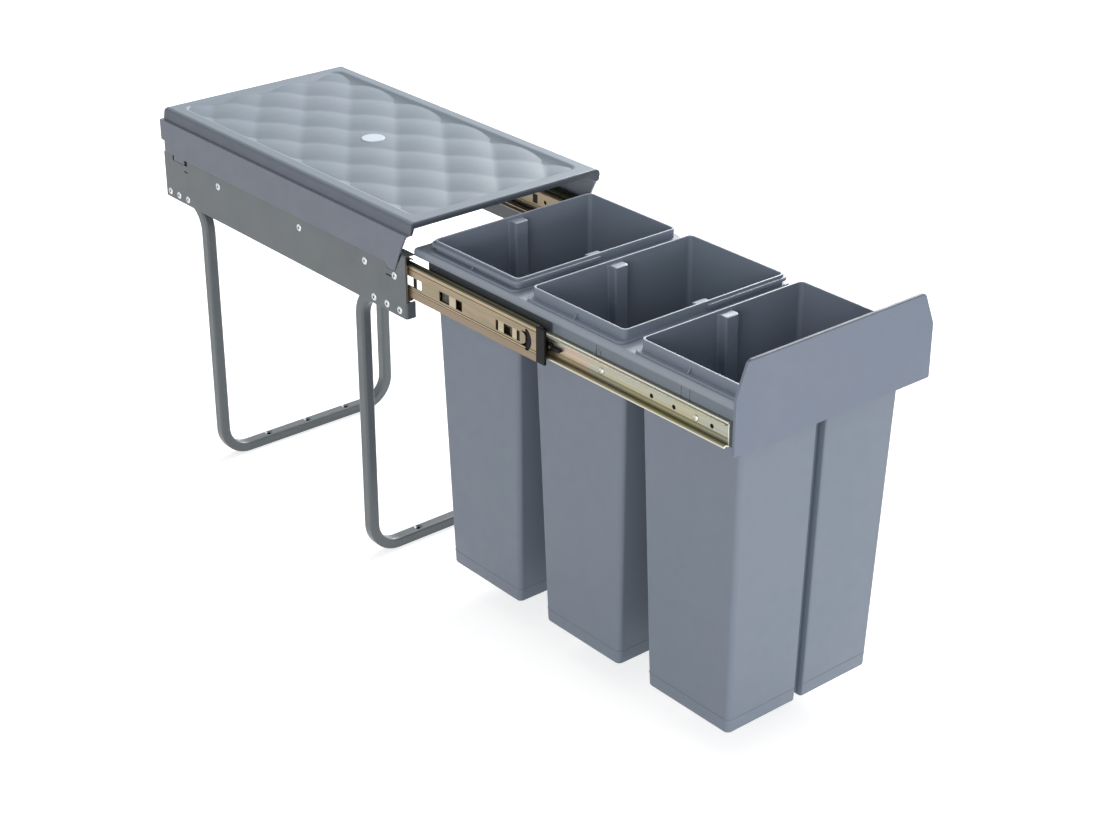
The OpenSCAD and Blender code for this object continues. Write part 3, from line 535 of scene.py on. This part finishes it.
def quiltTree():
    tree, given, end = startTree("quilting", [
        ("Cell", "NodeSocketVector", None), ("Cells Across", "NodeSocketInt", 8),
        ("Steps", "NodeSocketInt", 10), ("Rise", "NodeSocketFloat", 0.002),
        ("Thickness", "NodeSocketFloat", 0.002), ("Middle", "NodeSocketVector", None),
        ("Outline", "NodeSocketObject", None), ("Finish", "NodeSocketMaterial", None)])
    # a slab of square cells one unit wide, ridged, then sheared so that each cell becomes a rhomb
    across = given["Cells Across"]
    size = addNode(tree, "ShaderNodeCombineXYZ", {"X": across, "Y": across, "Z": given["Thickness"]})
    count = maths(tree, "ADD", maths(tree, "MULTIPLY", across, given["Steps"]), 1.0)
    slab = addNode(tree, "GeometryNodeMeshCube", {
        "Size": size.outputs[0], "Vertices X": count, "Vertices Y": count, "Vertices Z": 2}).outputs[0]
    position = addNode(tree, "GeometryNodeInputPosition").outputs[0]
    place = addNode(tree, "ShaderNodeSeparateXYZ", {0: position}).outputs
    ridges = [maths(tree, "ABSOLUTE", maths(tree, "COSINE", maths(tree, "MULTIPLY", place[axis], math.pi)))
              for axis in (xAxis, yAxis)]
    height = maths(tree, "MULTIPLY", maths(tree, "ADD", *ridges), given["Rise"])
    raised = maths(tree, "MULTIPLY_ADD", height, maths(tree, "GREATER_THAN", place[2], 0.0))
    wire(tree, raised.node, {2: place[2]})
    half = addNode(tree, "ShaderNodeSeparateXYZ", {0: given["Cell"]}).outputs
    sheared = addNode(tree, "ShaderNodeCombineXYZ", {
        "X": maths(tree, "MULTIPLY", maths(tree, "SUBTRACT", place[0], place[1]), half[0]),
        "Y": maths(tree, "MULTIPLY", maths(tree, "ADD", place[0], place[1]), half[1]),
        "Z": raised}).outputs[0]
    formed = addNode(tree, "GeometryNodeSetPosition", {"Geometry": slab, "Position": sheared}).outputs[0]
    moved = addNode(
        tree, "GeometryNodeTransform", {"Geometry": formed, "Translation": given["Middle"]}).outputs[0]
    outline = addNode(tree, "GeometryNodeObjectInfo", {"Object": given["Outline"]}).outputs["Geometry"]
    trimmed = addNode(tree, "GeometryNodeMeshBoolean", operation="INTERSECT", solver="EXACT")
    tree.links.new(moved, trimmed.inputs["Mesh 2"])
    tree.links.new(outline, trimmed.inputs["Mesh 2"])
    endTree(tree, end, trimmed.outputs[0], given["Finish"])
    return tree


setOut = setOutTree()
turnedSharp = 40.0       # degrees, on rivets, screws, rings and the disc


def placesMesh(places):
    # places are (point, the way the shape's top faces)
    mesh = bpy.data.meshes.new("places")
    mesh.from_pydata([point for point, facing in places], [], [])
    ways = mesh.attributes.new("facing", "FLOAT_VECTOR", "POINT")
    for count, (point, facing) in enumerate(places):
        ways.data[count].vector = facing
    return mesh


def setOutPiece(name, shape, places, seed, body, slotName, material, replaced=()):
    thing = grow(setOut, name, placesMesh(places), {"Shape": shape, "Spin Seed": seed, "Finish": material})
    return dress(evenShading(thing, name, turnedSharp), body, slotName, material, replaced)


# The bins: one lofted skin each, inside and outside

pail = {          # edges are pairs of shares of their rounding: up or down, and out or closed
    "wall": 2.0 * mm, "corner": 5.5 * mm, "foot": 3.0 * mm, "taperX": 18.0 * mm, "taperY": 21.0 * mm,
    "flangeX": 6.5 * mm, "flangeY": 3.0 * mm, "flange": 2.4 * mm, "flangeRound": 0.7 * mm, "flangeUnder": 0.4,
    "grooveHalf": 6.3 * mm, "grooveDeep": 11.0 * mm, "grooveFoot": 0.82, "grooveFillet": 2.2 * mm,
    "cap": 3.0 * mm, "capRound": 0.8 * mm, "capEdge": ((0.3, 0.12), (0.0, 0.3)), "rimRound": 0.55 * mm,
    "softEdge": ((1.0, 0.0), (0.3, 0.3), (0.0, 1.0)), "mouldLine": 15.0 * mm, "mouldBead": 0.3 * mm,
    "mouldEdge": ((1.6, 0.0), (1.3, 1.0), (-0.2, 1.0), (-0.8, 0.0)),
    "beadDrop": 6.0 * mm, "bead": 3.5 * mm, "beadX": 3.5 * mm, "beadRound": 0.7 * mm, "beadSoft": 0.3,
    "beadIn": 0.4 * mm,
    "rib": 1.5 * mm, "ribOut": 4.0 * mm, "ribHigh": 6.0 * mm, "ribIn": 0.5 * mm, "ribSunk": 0.3 * mm,
    "cornerSteps": 10, "filletSteps": 4, "floorSteps": 4, "rimSteps": 8, "flangeSteps": 4, "footSteps": 5,
    "sharp": 38.0,
}


def groovedLoop(halfX, halfY, radius, grooveHalf, grooveDeep, fillet, z, middle):
    # a rounded rectangle whose front and rear sides have a groove in their middle
    full, turns = pail["grooveDeep"], quarterTurn(pail["filletSteps"])
    side = [(-(grooveHalf + fillet) + fillet * math.sin(turn), fillet * (1 - math.cos(turn)))
            for turn in turns]
    side += [(-grooveHalf + fillet * (1 - math.cos(turn)), full - fillet + fillet * math.sin(turn))
             for turn in turns]
    side += [(0.0, full)] + [(-x, deep) for x, deep in reversed(side)]
    share = grooveDeep / full
    loop = [(x, -halfY + deep * share) for x, deep in side]
    for quarter, (sideX, sideY) in enumerate(((1, -1), (1, 1))):
        for step in range(pail["cornerSteps"] + 1):
            angle = math.radians(90 * (quarter - 1 + step / pail["cornerSteps"]))
            loop.append((sideX * (halfX - radius) + radius * math.cos(angle),
                         sideY * (halfY - radius) + radius * math.sin(angle)))
    loop += [(-x, -y) for x, y in loop]
    return [Vector((middle.x + x, middle.y + y, z)) for x, y in loop]


def binForm(low, high, deckZ):
    middle = (low + high) / 2
    rimX = (high.x - low.x) / 2 - pail["flangeX"]
    rimY = (high.y - low.y) / 2 - pail["flangeY"]
    tall = high.z - low.z
    capZ = high.z - pail["cap"]
    flangeTop = deckZ + pail["flange"]
    fillet, foot, bead = pail["grooveFillet"], pail["foot"], pail["mouldBead"]

    def ring(z, out, groove=""):
        # inside the groove shows as a pillar, a wall wider on each side
        share = (z - low.z) / tall
        size = pail["grooveFoot"] + (1 - pail["grooveFoot"]) * share
        half = pail["grooveHalf"] * size + (pail["wall"] if groove == "pillar" else 0.0)
        deep = pail["grooveDeep"] * size if groove else 0.0
        halfX = rimX - pail["taperX"] / 2 * (1 - share) + out
        halfY = rimY - pail["taperY"] / 2 * (1 - share) + out
        return groovedLoop(halfX, halfY, pail["corner"] + out / 2, half, deep, fillet, z, middle)

    def flangeRing(z, inset):
        return groovedLoop(rimX + pail["flangeX"] - inset, rimY + pail["flangeY"] - inset,
                           pail["corner"] + pail["flangeY"] - inset, pail["grooveHalf"], 0.0,
                           fillet, z, middle)

    # up the inside, with a rounded corner round the floor
    inner = -pail["wall"]
    floorZ = low.z + pail["wall"]
    rings = [ring(floorZ + foot * (1 - math.cos(turn)), inner - foot * (1 - math.sin(turn)), "pillar")
             for turn in quarterTurn(pail["floorSteps"])]
    rings.append(ring((floorZ + capZ) / 2, inner, "pillar"))
    rings.append(ring(capZ - pail["capRound"], inner, "pillar"))
    level = ring(capZ, inner)
    for drop, share in pail["capEdge"]:      # soft edge of the caps on the pillars
        edge = ring(capZ - pail["capRound"] * drop, inner, "pillar")
        rings.append([point + (close - point) * share for point, close in zip(edge, level)])
    rings.append(level)

    # over the rim
    soft, steps = pail["rimRound"], pail["rimSteps"]
    rings.append(ring(high.z - soft, inner))
    for step in range(1, steps):
        turn = math.pi * step / steps
        past = (step > steps / 2) - (step < steps / 2)       # -1, 0 or 1: before, on or past the middle
        out = -pail["wall"] / 2 + (pail["wall"] / 2 - soft) * past - soft * math.cos(turn)
        rings.append(ring(high.z - soft * (1 - math.sin(turn)), out))
    rings.append(ring(high.z - soft, 0.0))

    # round the flange
    soft = pail["flangeRound"]
    for rise, out in pail["softEdge"]:
        rings.append(ring(flangeTop + soft * rise, soft * out))
    for turn in quarterTurn(pail["flangeSteps"]):
        rings.append(flangeRing(flangeTop - soft * (1 - math.cos(turn)), soft * (1 - math.sin(turn))))
    rings.append(flangeRing(deckZ + soft * pail["flangeUnder"], 0.0))
    rings.append(flangeRing(deckZ, soft * pail["flangeUnder"]))

    # down the outside
    rings.append(ring(deckZ, 0.0, "groove"))
    rings.append(ring((deckZ + low.z) / 2, 0.0, "groove"))
    for rise, out in pail["mouldEdge"]:
        rings.append(ring(low.z + pail["mouldLine"] + rise * bead, out * bead, "groove"))
    for turn in quarterTurn(pail["footSteps"]):
        rings.append(ring(low.z + foot * (1 - math.sin(turn)), -foot * (1 - math.cos(turn)), "groove"))
    parts = [loft(rings)]

    # the rail round one half of the rim
    topZ = high.z - pail["beadDrop"] + pail["bead"]
    lowZ = topZ - pail["bead"]
    soft = pail["beadRound"]
    small = soft * pail["beadSoft"]
    outlines = [groovedLoop(rimX + out * pail["beadX"] - less, rimY + out * pail["flangeY"] - less,
                            pail["corner"] + out * pail["flangeY"], pail["grooveHalf"], 0.0,
                            fillet, 0.0, middle)
                for out, less in ((0.0, pail["beadIn"]), (1.0, soft), (1.0, small), (1.0, 0.0))]
    section = ((0, lowZ), (1, lowZ), (2, lowZ + small), (3, lowZ + soft),
               (3, topZ - soft), (2, topZ - small), (1, topZ), (0, topZ))
    first = 2 * (pail["filletSteps"] + 1)
    path = range(first, first + len(outlines[0]) // 2 + 1)
    parts.append(loft([[Vector((outlines[k][j].x, outlines[k][j].y, z)) for k, z in section] for j in path]))

    # a small rib between rim and flange on the left and on the right
    ribFoot = flangeTop - pail["ribSunk"]
    for out in (-1, 1):
        near = middle.x + out * (rimX - pail["ribIn"])
        far = middle.x + out * (rimX + pail["ribOut"])
        triangle = ((near, ribFoot), (far, ribFoot), (near, flangeTop + pail["ribHigh"]))
        parts.append(loft([[Vector((x, middle.y + y, z)) for x, z in triangle]
                           for y in (-pail["rib"] / 2, pail["rib"] / 2)]))
    return together(parts)


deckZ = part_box("carrier_frame")[1].z
for which in ("rear", "middle", "front"):
    nodeName = "bin_" + which
    mesh = meshFrom(nodeName, *binForm(*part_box(nodeName), deckZ))
    if which == "rear":          # the rear bin stands the other way round
        middle = sum(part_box(nodeName), Vector()) / 2
        turned = Matrix.Rotation(math.pi, 4, "Z")
        mesh.transform(Matrix.Translation(middle) @ turned @ Matrix.Translation(-middle))
    piece = evenShading(makeObject(nodeName, mesh), "bin" + which.title(), pail["sharp"])
    dress(piece, which + "_bin", "bin_plastic", binPlastic, [nodeName])
print("bins made")


# The lid: its shell from the frame with a pocket for the quilting

lid = {
    "frontBorder": 16.0 * mm, "rearBorder": 20.7 * mm, "sideBorder": 18.2 * mm,
    "deep": 5.5 * mm, "slope": 9.0 * mm, "rampFrom": 4.2 * mm, "rampLong": 13.0 * mm,
    "cornerRadius": 12.0 * mm, "cornerLeast": 1.0 * mm, "cornerSteps": 10,
    "edgeRound": 6.0 * mm, "edgeSteps": 6,
    "below": 0.5 * mm, "over": 1.0 * mm, "edge": 0.7 * mm, "edgeSharp": 30.0, "edgeSegments": 3,
    "cell": (31.65 * mm, 43.9 * mm), "cellsAcross": 10, "steps": 14, "rise": 2.0 * mm, "slab": 1.6 * mm,
    "quiltSharp": 50.0,
}
lidLow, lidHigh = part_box("lid")
trayMiddle = Vector((
    0.0, (lidLow.y + lid["frontBorder"] + lidHigh.y - lid["rearBorder"]) / 2, lidHigh.z - lid["deep"]))
trayX = lidHigh.x - lid["sideBorder"]
trayY = (lidHigh.y - lidLow.y - lid["frontBorder"] - lid["rearBorder"]) / 2
lean = math.atan2(lid["deep"], lid["slope"])


def trayLoop(out, depth):
    radius = max(lid["cornerRadius"] + out, lid["cornerLeast"])
    return roundedLoop(trayX + out, trayY + out, radius, lidHigh.z - depth, trayMiddle, lid["cornerSteps"])


# the pocket: a soft ramp at the foot of its slope, and a rounded edge between slope and border
foot = lid["deep"] + lid["below"]
rampOut = -lid["rampFrom"] / math.tan(lean)
trayLoops = [trayLoop(rampOut - lid["rampLong"], foot), trayLoop(rampOut, lid["rampFrom"])]
for step in range(lid["edgeSteps"], -1, -1):
    turn = lean * step / lid["edgeSteps"]
    out = lid["edgeRound"] * (math.tan(lean / 2) - math.sin(turn))
    trayLoops.append(trayLoop(out, lid["edgeRound"] * (1 - math.cos(turn))))
trayLoops.append(trayLoop(lid["edgeRound"] * math.tan(lean / 2), -lid["over"]))
# the frame's own tray is filled first, so that the pocket is cut from one plain sheet
filling = [trayLoop(lid["over"], depth) for depth in (foot + lid["below"], 0.0)]
shell = combine(mergedCopy("lid"), *loft(filling), "UNION")
shell = cutAway(shell, *loft(trayLoops))
shell = crisp(shell, "lidShell", lid["edge"], lid["edgeSharp"], lid["edgeSegments"])
dress(shell, "housing", "lid_plastic", lidPlastic, ["lid"])

outline = makeObject("outline", meshFrom("outline", *loft([
    roundedLoop(trayX, trayY, lid["cornerRadius"], z, trayMiddle)
    for z in (trayMiddle.z - 2 * lid["slab"], lidHigh.z)])))
quilt = grow(quiltTree(), "lidQuilt", bpy.data.meshes.new("nothing"), {
    "Cell": (*lid["cell"], 0.0), "Cells Across": lid["cellsAcross"], "Steps": lid["steps"],
    "Rise": lid["rise"], "Thickness": lid["slab"],
    "Middle": trayMiddle - Vector((0, 0, lid["slab"] / 2)), "Outline": outline, "Finish": lidPlastic})
bpy.data.objects.remove(outline)
dress(evenShading(quilt, "lidQuilt", lid["quiltSharp"]), "housing", "lid_plastic", lidPlastic)
print("lid made")


# Carrier, panel, plates and slides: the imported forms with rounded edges

softened = {      # rounding in millimetres, body, slot and material, with * for left and right
    "carrier_frame": (0.5, "carrier", "carrier_plastic", carrierPlastic),
    "front_panel": (1.2, "carrier", "panel_plastic", panelPlastic),
    "side_plate_*": (0.25, "housing", "painted_sheet", platePaint),
    "slide_mid_*": (0.15, "middle_*", "plated_steel", middlePlating),
    "slide_inner_*": (0.15, "carrier", "plated_steel", innerPlating),
    "slide_outer_*": (0.15, "housing", "plated_steel", middlePlating),
    "mid_bumper_*": (0.5, "middle_*", "black_plastic", blackPlastic),
    "rear_buffer_*": (0.8, "housing", "black_plastic", blackPlastic),
    "disconnect_lever_*": (0.3, "lever_*", "black_plastic", blackPlastic),
}

# seams, slot, windows, tabs and bars of the middle members, in millimetres
member = {
    "face": 121.1, "sheet": 1.2, "centre": 354.0, "through": (-2.0, 1.0), "ends": (-436.0, -34.0),
    "seams": ((366.2, 367.0), (345.7, 346.8), (344.1, 344.9)), "seamDeep": 0.3,
    "windows": ((-258.0, -250.5), (-146.0, -138.0)), "windowHalf": 5.2, "hole": (-159.0, 2.2),
    "tabs": ((-313.0, -302.5), (-386.9, -378.6), (-406.3, -399.8)), "tabThick": 0.7, "tabIn": 0.15,
    "bars": ((-249.5, -244.5), (-145.9, -138.1)),
    "arcMiddle": -415.5, "arcRadius": 12.8, "arcBack": -419.2, "arcTurn": 59.0, "arcSteps": 12,
}
# the inner members stop short of the panel
innerEnd = {"front": -688.0, "cut": -682.0, "x": (109.0, 119.0), "z": (340.0, 368.0)}
# thin black strips in the plates behind the lid's clips, a dark sheet as painted shade where the openings would
# show the slide
clipBacking = {"sheet": (123.5, 123.58), "long": ((172.5, 206.0), (-220.0, -202.0)), "high": (350.0, 364.9)}
# screw holes in the carrier's walls
pilot = {"places": (-661.0, -613.0, -584.0), "radius": 2.6, "wall": (107.0, 112.0), "steps": 20}


def roundHole(out, y, radius, wall):
    turns = [2 * math.pi * step / pilot["steps"] for step in range(pilot["steps"])]
    edge = [(y + radius * math.cos(turn), member["centre"] + radius * math.sin(turn)) for turn in turns]
    return loft([[Vector((out * x, alongY, upZ)) * mm for alongY, upZ in edge] for x in wall])


def arcSlot(out):
    steps, radius = member["arcSteps"], member["arcRadius"]
    turns = [math.radians(member["arcTurn"] * step / steps) for step in range(-steps, steps + 1)]
    outline = [(member["arcMiddle"] - radius * math.cos(turn), member["centre"] + radius * math.sin(turn))
               for turn in turns]
    outline += [(member["arcBack"], outline[-1][1]), (member["arcBack"], outline[0][1])]
    return loft([[Vector((out * x, y, z)) * mm for y, z in outline]
                 for x in (member["face"] - 2 * member["sheet"], member["face"] + member["sheet"])])


def memberCuts(out):
    face, middle, half = member["face"], member["centre"], member["windowHalf"]
    through = [face + step for step in member["through"]]
    yield arcSlot(out)
    yield roundHole(out, *member["hole"], through)
    for window in member["windows"]:
        yield sideBlock(out, through, window, (middle - half, middle + half))
    for seam in member["seams"]:
        yield sideBlock(out, (face - member["seamDeep"], through[1]), member["ends"], seam)


cuts = {"carrier_frame": [
    roundHole(out, y, pilot["radius"], pilot["wall"]) for out in (-1, 1) for y in pilot["places"]]}
for side, out in sides:
    cuts["slide_mid_" + side] = list(memberCuts(out))
    cuts["slide_inner_" + side] = [
        sideBlock(out, innerEnd["x"], (innerEnd["front"], innerEnd["cut"]), innerEnd["z"])]

for pattern, (width, body, slotName, material) in softened.items():
    for side in ("left", "right") if "*" in pattern else ("",):
        nodeName = pattern.replace("*", side)
        words = nodeName.split("_")
        name = words[0] + "".join(word.title() for word in words[1:])
        thing = mergedCopy(nodeName)
        for form in cuts.get(nodeName, ()):
            thing = cutAway(thing, *form)
        dress(crisp(thing, name, width * mm), body.replace("*", side), slotName, material, [nodeName])

for side, out in sides:
    face, half = member["face"] - member["tabIn"], member["windowHalf"]
    thick, high = (face - member["tabThick"], face), (member["centre"] - half, member["centre"] + half)
    strips = {
        "lockTabs": ("middle_" + side, "plated_steel", tabPlating, thick, member["tabs"], high),
        "stopBars": ("middle_" + side, "black_plastic", blackPlastic, thick, member["bars"], high),
        "clipBacking": ("housing", "black_plastic", blackPlastic,
                        clipBacking["sheet"], clipBacking["long"], clipBacking["high"]),
    }
    for kind, (body, slotName, material, x, ends, z) in strips.items():
        mesh = meshFrom(kind, *together([sideBlock(out, x, y, z) for y in ends]))
        dress(makeObject(kind + side.title(), mesh), body, slotName, material)
    for kind in ("outer", "inner"):
        repaint(kind + "_cage_" + side, cageMetal)
        repaint(kind + "_balls_" + side, ballMetal)
for nodeName in ("front_leg", "rear_leg"):
    repaint(nodeName, tubePaint)
print("carrier, plates and slides softened")


# Rivets and screws, set out where the frame has them

rivet = {         # profiles are (radius, height) in millimetres, the seat at height 0
    "headHigh": 1.2, "seed": 3, "coreSeed": 5, "coreSteps": 16,
    "profile": ((0, 0.4), (1.4, 0.4), (1.5, 0.95), (1.8, 1.17), (2.2, 1.2), (2.9, 1.0), (3.5, 0.68),
                (3.9, 0.38), (4.0, 0.2), (3.9, 0.0), (2.0, 0.0), (2.0, -2.6), (0, -2.6)),
    "core": ((0, 0.6), (0.7, 0.58), (1.1, 0.5), (1.35, 0.42), (1.35, 0.3), (0, 0.3)),
}
rivetShape = makeObject("rivet shape", meshFrom("rivet", *lathe(rivet["profile"])))
coreShape = makeObject("core shape", meshFrom("core", *lathe(rivet["core"], rivet["coreSteps"])))

screw = {
    "headHigh": 1.8, "seed": 7, "panelSeed": 11,
    "profile": ((0, 1.8), (1.25, 1.74), (2.3, 1.45), (3.0, 0.95), (3.3, 0.4), (3.3, 0.1), (3.2, 0.0),
                (1.7, 0.0), (1.7, -3.4), (0, -3.4)),
    "crossLong": 3.4, "crossWide": 0.9, "crossDeep": 0.9, "crossFoot": 0.75,
    "crossOver": 1.0, "crossTop": 1.3,
}
screwShape = makeObject("screw shape", meshFrom("screw", *lathe(screw["profile"])))
crossHalves = (screw["crossLong"] / 2 * mm, screw["crossWide"] / 2 * mm)
for halfX, halfY in (crossHalves, crossHalves[::-1]):        # the two slots of the cross
    high = screw["headHigh"] * mm + screw["crossOver"] * mm
    low = (screw["headHigh"] - screw["crossDeep"]) * mm
    corners = ((halfX, halfY), (-halfX, halfY), (-halfX, -halfY), (halfX, -halfY))
    screwShape = cutAway(screwShape, *loft([
        [Vector((x * scale, y * scale, z)) for x, y in corners]
        for z, scale in ((low, screw["crossFoot"]), (high, screw["crossTop"]))]))


def placesOn(nodeName, out, headHigh):
    # the seat of each head, which is its solid's outermost part
    return [(Vector((lowest.x + headHigh * mm if out < 0 else highest.x - headHigh * mm,
                     (lowest.y + highest.y) / 2, (lowest.z + highest.z) / 2)), Vector((out, 0, 0)))
            for lowest, highest in solidsOf(nodeName)]


for side, out in sides:
    places = placesOn("plate_rivets_" + side, out, rivet["headHigh"])
    setOutPiece("rivets" + side.title(), rivetShape, places, rivet["seed"], "housing", "rivet", rivetMetal,
                ["plate_rivets_" + side])
    setOutPiece("rivetCores" + side.title(), coreShape, places, rivet["coreSeed"], "housing", "rivet",
                coreMetal)
    places = placesOn("carrier_screws_" + side, out, screw["headHigh"])
    setOutPiece("carrierScrews" + side.title(), screwShape, places, screw["seed"], "carrier", "screw_steel",
                screwMetal, ["carrier_screws_" + side])
places = [(Vector(((lowest.x + highest.x) / 2, highest.y - screw["headHigh"] * mm,
                   (lowest.z + highest.z) / 2)), Vector((0, 1, 0)))
          for lowest, highest in solidsOf("panel_screws")]
setOutPiece("panelScrews", screwShape, places, screw["panelSeed"], "carrier", "screw_steel", screwMetal,
            ["panel_screws"])

# black ring in the seat on each side of the carrier, low enough to pass the middle member
ring = {
    "behind": 176.0 * mm, "radius": 3.4 * mm, "clear": 0.5 * mm, "seed": 13, "steps": 24,
    "profile": ((0, 0.05), (1.7, 0.05), (1.9, 0.24), (2.4, 0.35), (3.1, 0.32), (3.6, 0.15), (3.6, -0.2),
                (0, -0.2)),
}
ringShape = makeObject("ring shape", meshFrom("ring", *lathe(ring["profile"], ring["steps"])))
innerLow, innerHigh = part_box("slide_inner_left")
seatX, seatY = abs(innerHigh.x), innerLow.y + ring["behind"]
seatZ = innerHigh.z + ring["clear"] + ring["radius"]
places = [(Vector((out * seatX, seatY, seatZ)), Vector((out, 0, 0))) for out in (-1, 1)]
setOutPiece("carrierRings", ringShape, places, ring["seed"], "carrier", "black_plastic", blackPlastic)

# plain disc on the crown in the middle of the lid
disc = {
    "profile": ((0, -1.0), (12.6, -1.0), (12.6, 0.1), (12.3, 0.4), (11.6, 0.5), (0, 0.5)),
    "steps": 48, "sunk": 0.4 * mm,
}
discMesh = meshFrom("disc", *lathe(disc["profile"], disc["steps"]))
crown = trayMiddle.z + 2 * lid["rise"] - disc["sunk"]
discMesh.transform(Matrix.Translation((0, trayMiddle.y, crown)))
discPiece = evenShading(makeObject("disc", discMesh), "lidDisc", turnedSharp)
dress(discPiece, "housing", "lid_plastic", discPlastic)
for shape in (rivetShape, coreShape, screwShape, ringShape):
    bpy.data.objects.remove(shape)
print("rivets, screws, rings and disc set out")


# Camera, floor and light

view = {"lens": 70.44, "sensor": 36.0, "azimuth": -39.9, "elevation": 26.5, "distance": 2.26545,
        "target": (0.02457, -0.28106, 0.17858)}
azimuth, elevation = math.radians(view["azimuth"]), math.radians(view["elevation"])
level = math.cos(elevation)
back = Vector((math.sin(azimuth) * level, -math.cos(azimuth) * level, math.sin(elevation)))
camera = bpy.data.objects.new("camera", bpy.data.cameras.new("camera"))
bpy.context.scene.collection.objects.link(camera)
camera.data.lens = view["lens"]
camera.data.sensor_width = view["sensor"]
camera.location = Vector(view["target"]) + back * view["distance"]
camera.rotation_euler = (-back).to_track_quat("-Z", "Y").to_euler()
bpy.context.scene.camera = camera

studio = {
    "floorSize": 14.0, "floorColour": (0.66, 0.66, 0.66, 1.0), "floorRough": 0.9, "floorGlow": 0.67,
    "world": 0.42,
    "lamps": {               # place, aim, size and power
        "right light": ((2.1, 0.7, 1.6), (0.0, -0.1, 0.4), 1.1, 92.0),
        "top light": ((0.3, 0.1, 3.0), (0.0, -0.2, 0.3), 2.2, 12.0),
        "front light": ((0.2, -3.2, 0.5), (0.0, -0.7, 0.6), 0.8, 26.0),
        "left light": ((-2.8, -2.1, 1.15), (0.0, -0.5, 0.35), 1.3, 44.0),
    },
}


def seenDirectly(tree):
    # 1 for camera, mirror and glass rays, 0 for the light that falls on things
    path = addNode(tree, "ShaderNodeLightPath").outputs
    either = maths(tree, "MAXIMUM", path["Is Camera Ray"], path["Is Glossy Ray"])
    return maths(tree, "MAXIMUM", either, path["Is Transmission Ray"])


floorMaterial = bpy.data.materials.new("pale floor")
floorMaterial.use_nodes = True
tree = floorMaterial.node_tree
wire(tree, tree.nodes["Principled BSDF"], {
    "Base Color": studio["floorColour"], "Roughness": studio["floorRough"], "Specular IOR Level": 0.0,
    "Emission Color": (1, 1, 1, 1),
    "Emission Strength": maths(tree, "MULTIPLY", seenDirectly(tree), studio["floorGlow"])})
half = studio["floorSize"] / 2
corners = [(-half, -half, 0), (half, -half, 0), (half, half, 0), (-half, half, 0)]
floor = makeObject("floor", meshFrom("floor", corners, [(0, 1, 2, 3)]))
floor.data.materials.append(floorMaterial)
floor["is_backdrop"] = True

world = bpy.data.worlds.new("studio")
world.use_nodes = True
tree = world.node_tree
rest = maths(tree, "MULTIPLY", seenDirectly(tree), 1.0 - studio["world"])
light = maths(tree, "ADD", studio["world"], rest)
wire(tree, tree.nodes["Background"], {"Color": (1, 1, 1, 1), "Strength": light})
bpy.context.scene.world = world


def softLight(name, place, aim, size, power):
    lamp = bpy.data.lights.new(name, "AREA")
    lamp.size = size
    lamp.energy = power
    thing = bpy.data.objects.new(name, lamp)
    thing.location = place
    thing.rotation_euler = (Vector(aim) - Vector(place)).to_track_quat("-Z", "Y").to_euler()
    bpy.context.scene.collection.objects.link(thing)


for name, (place, aim, size, power) in studio["lamps"].items():
    softLight(name, place, aim, size, power)
bpy.context.scene.view_settings.view_transform = "Standard"
print("camera, floor and lights set")

low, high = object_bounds()
{"cad": [list(corner) for corner in cadBox], "visual": [list(low), list(high)]}
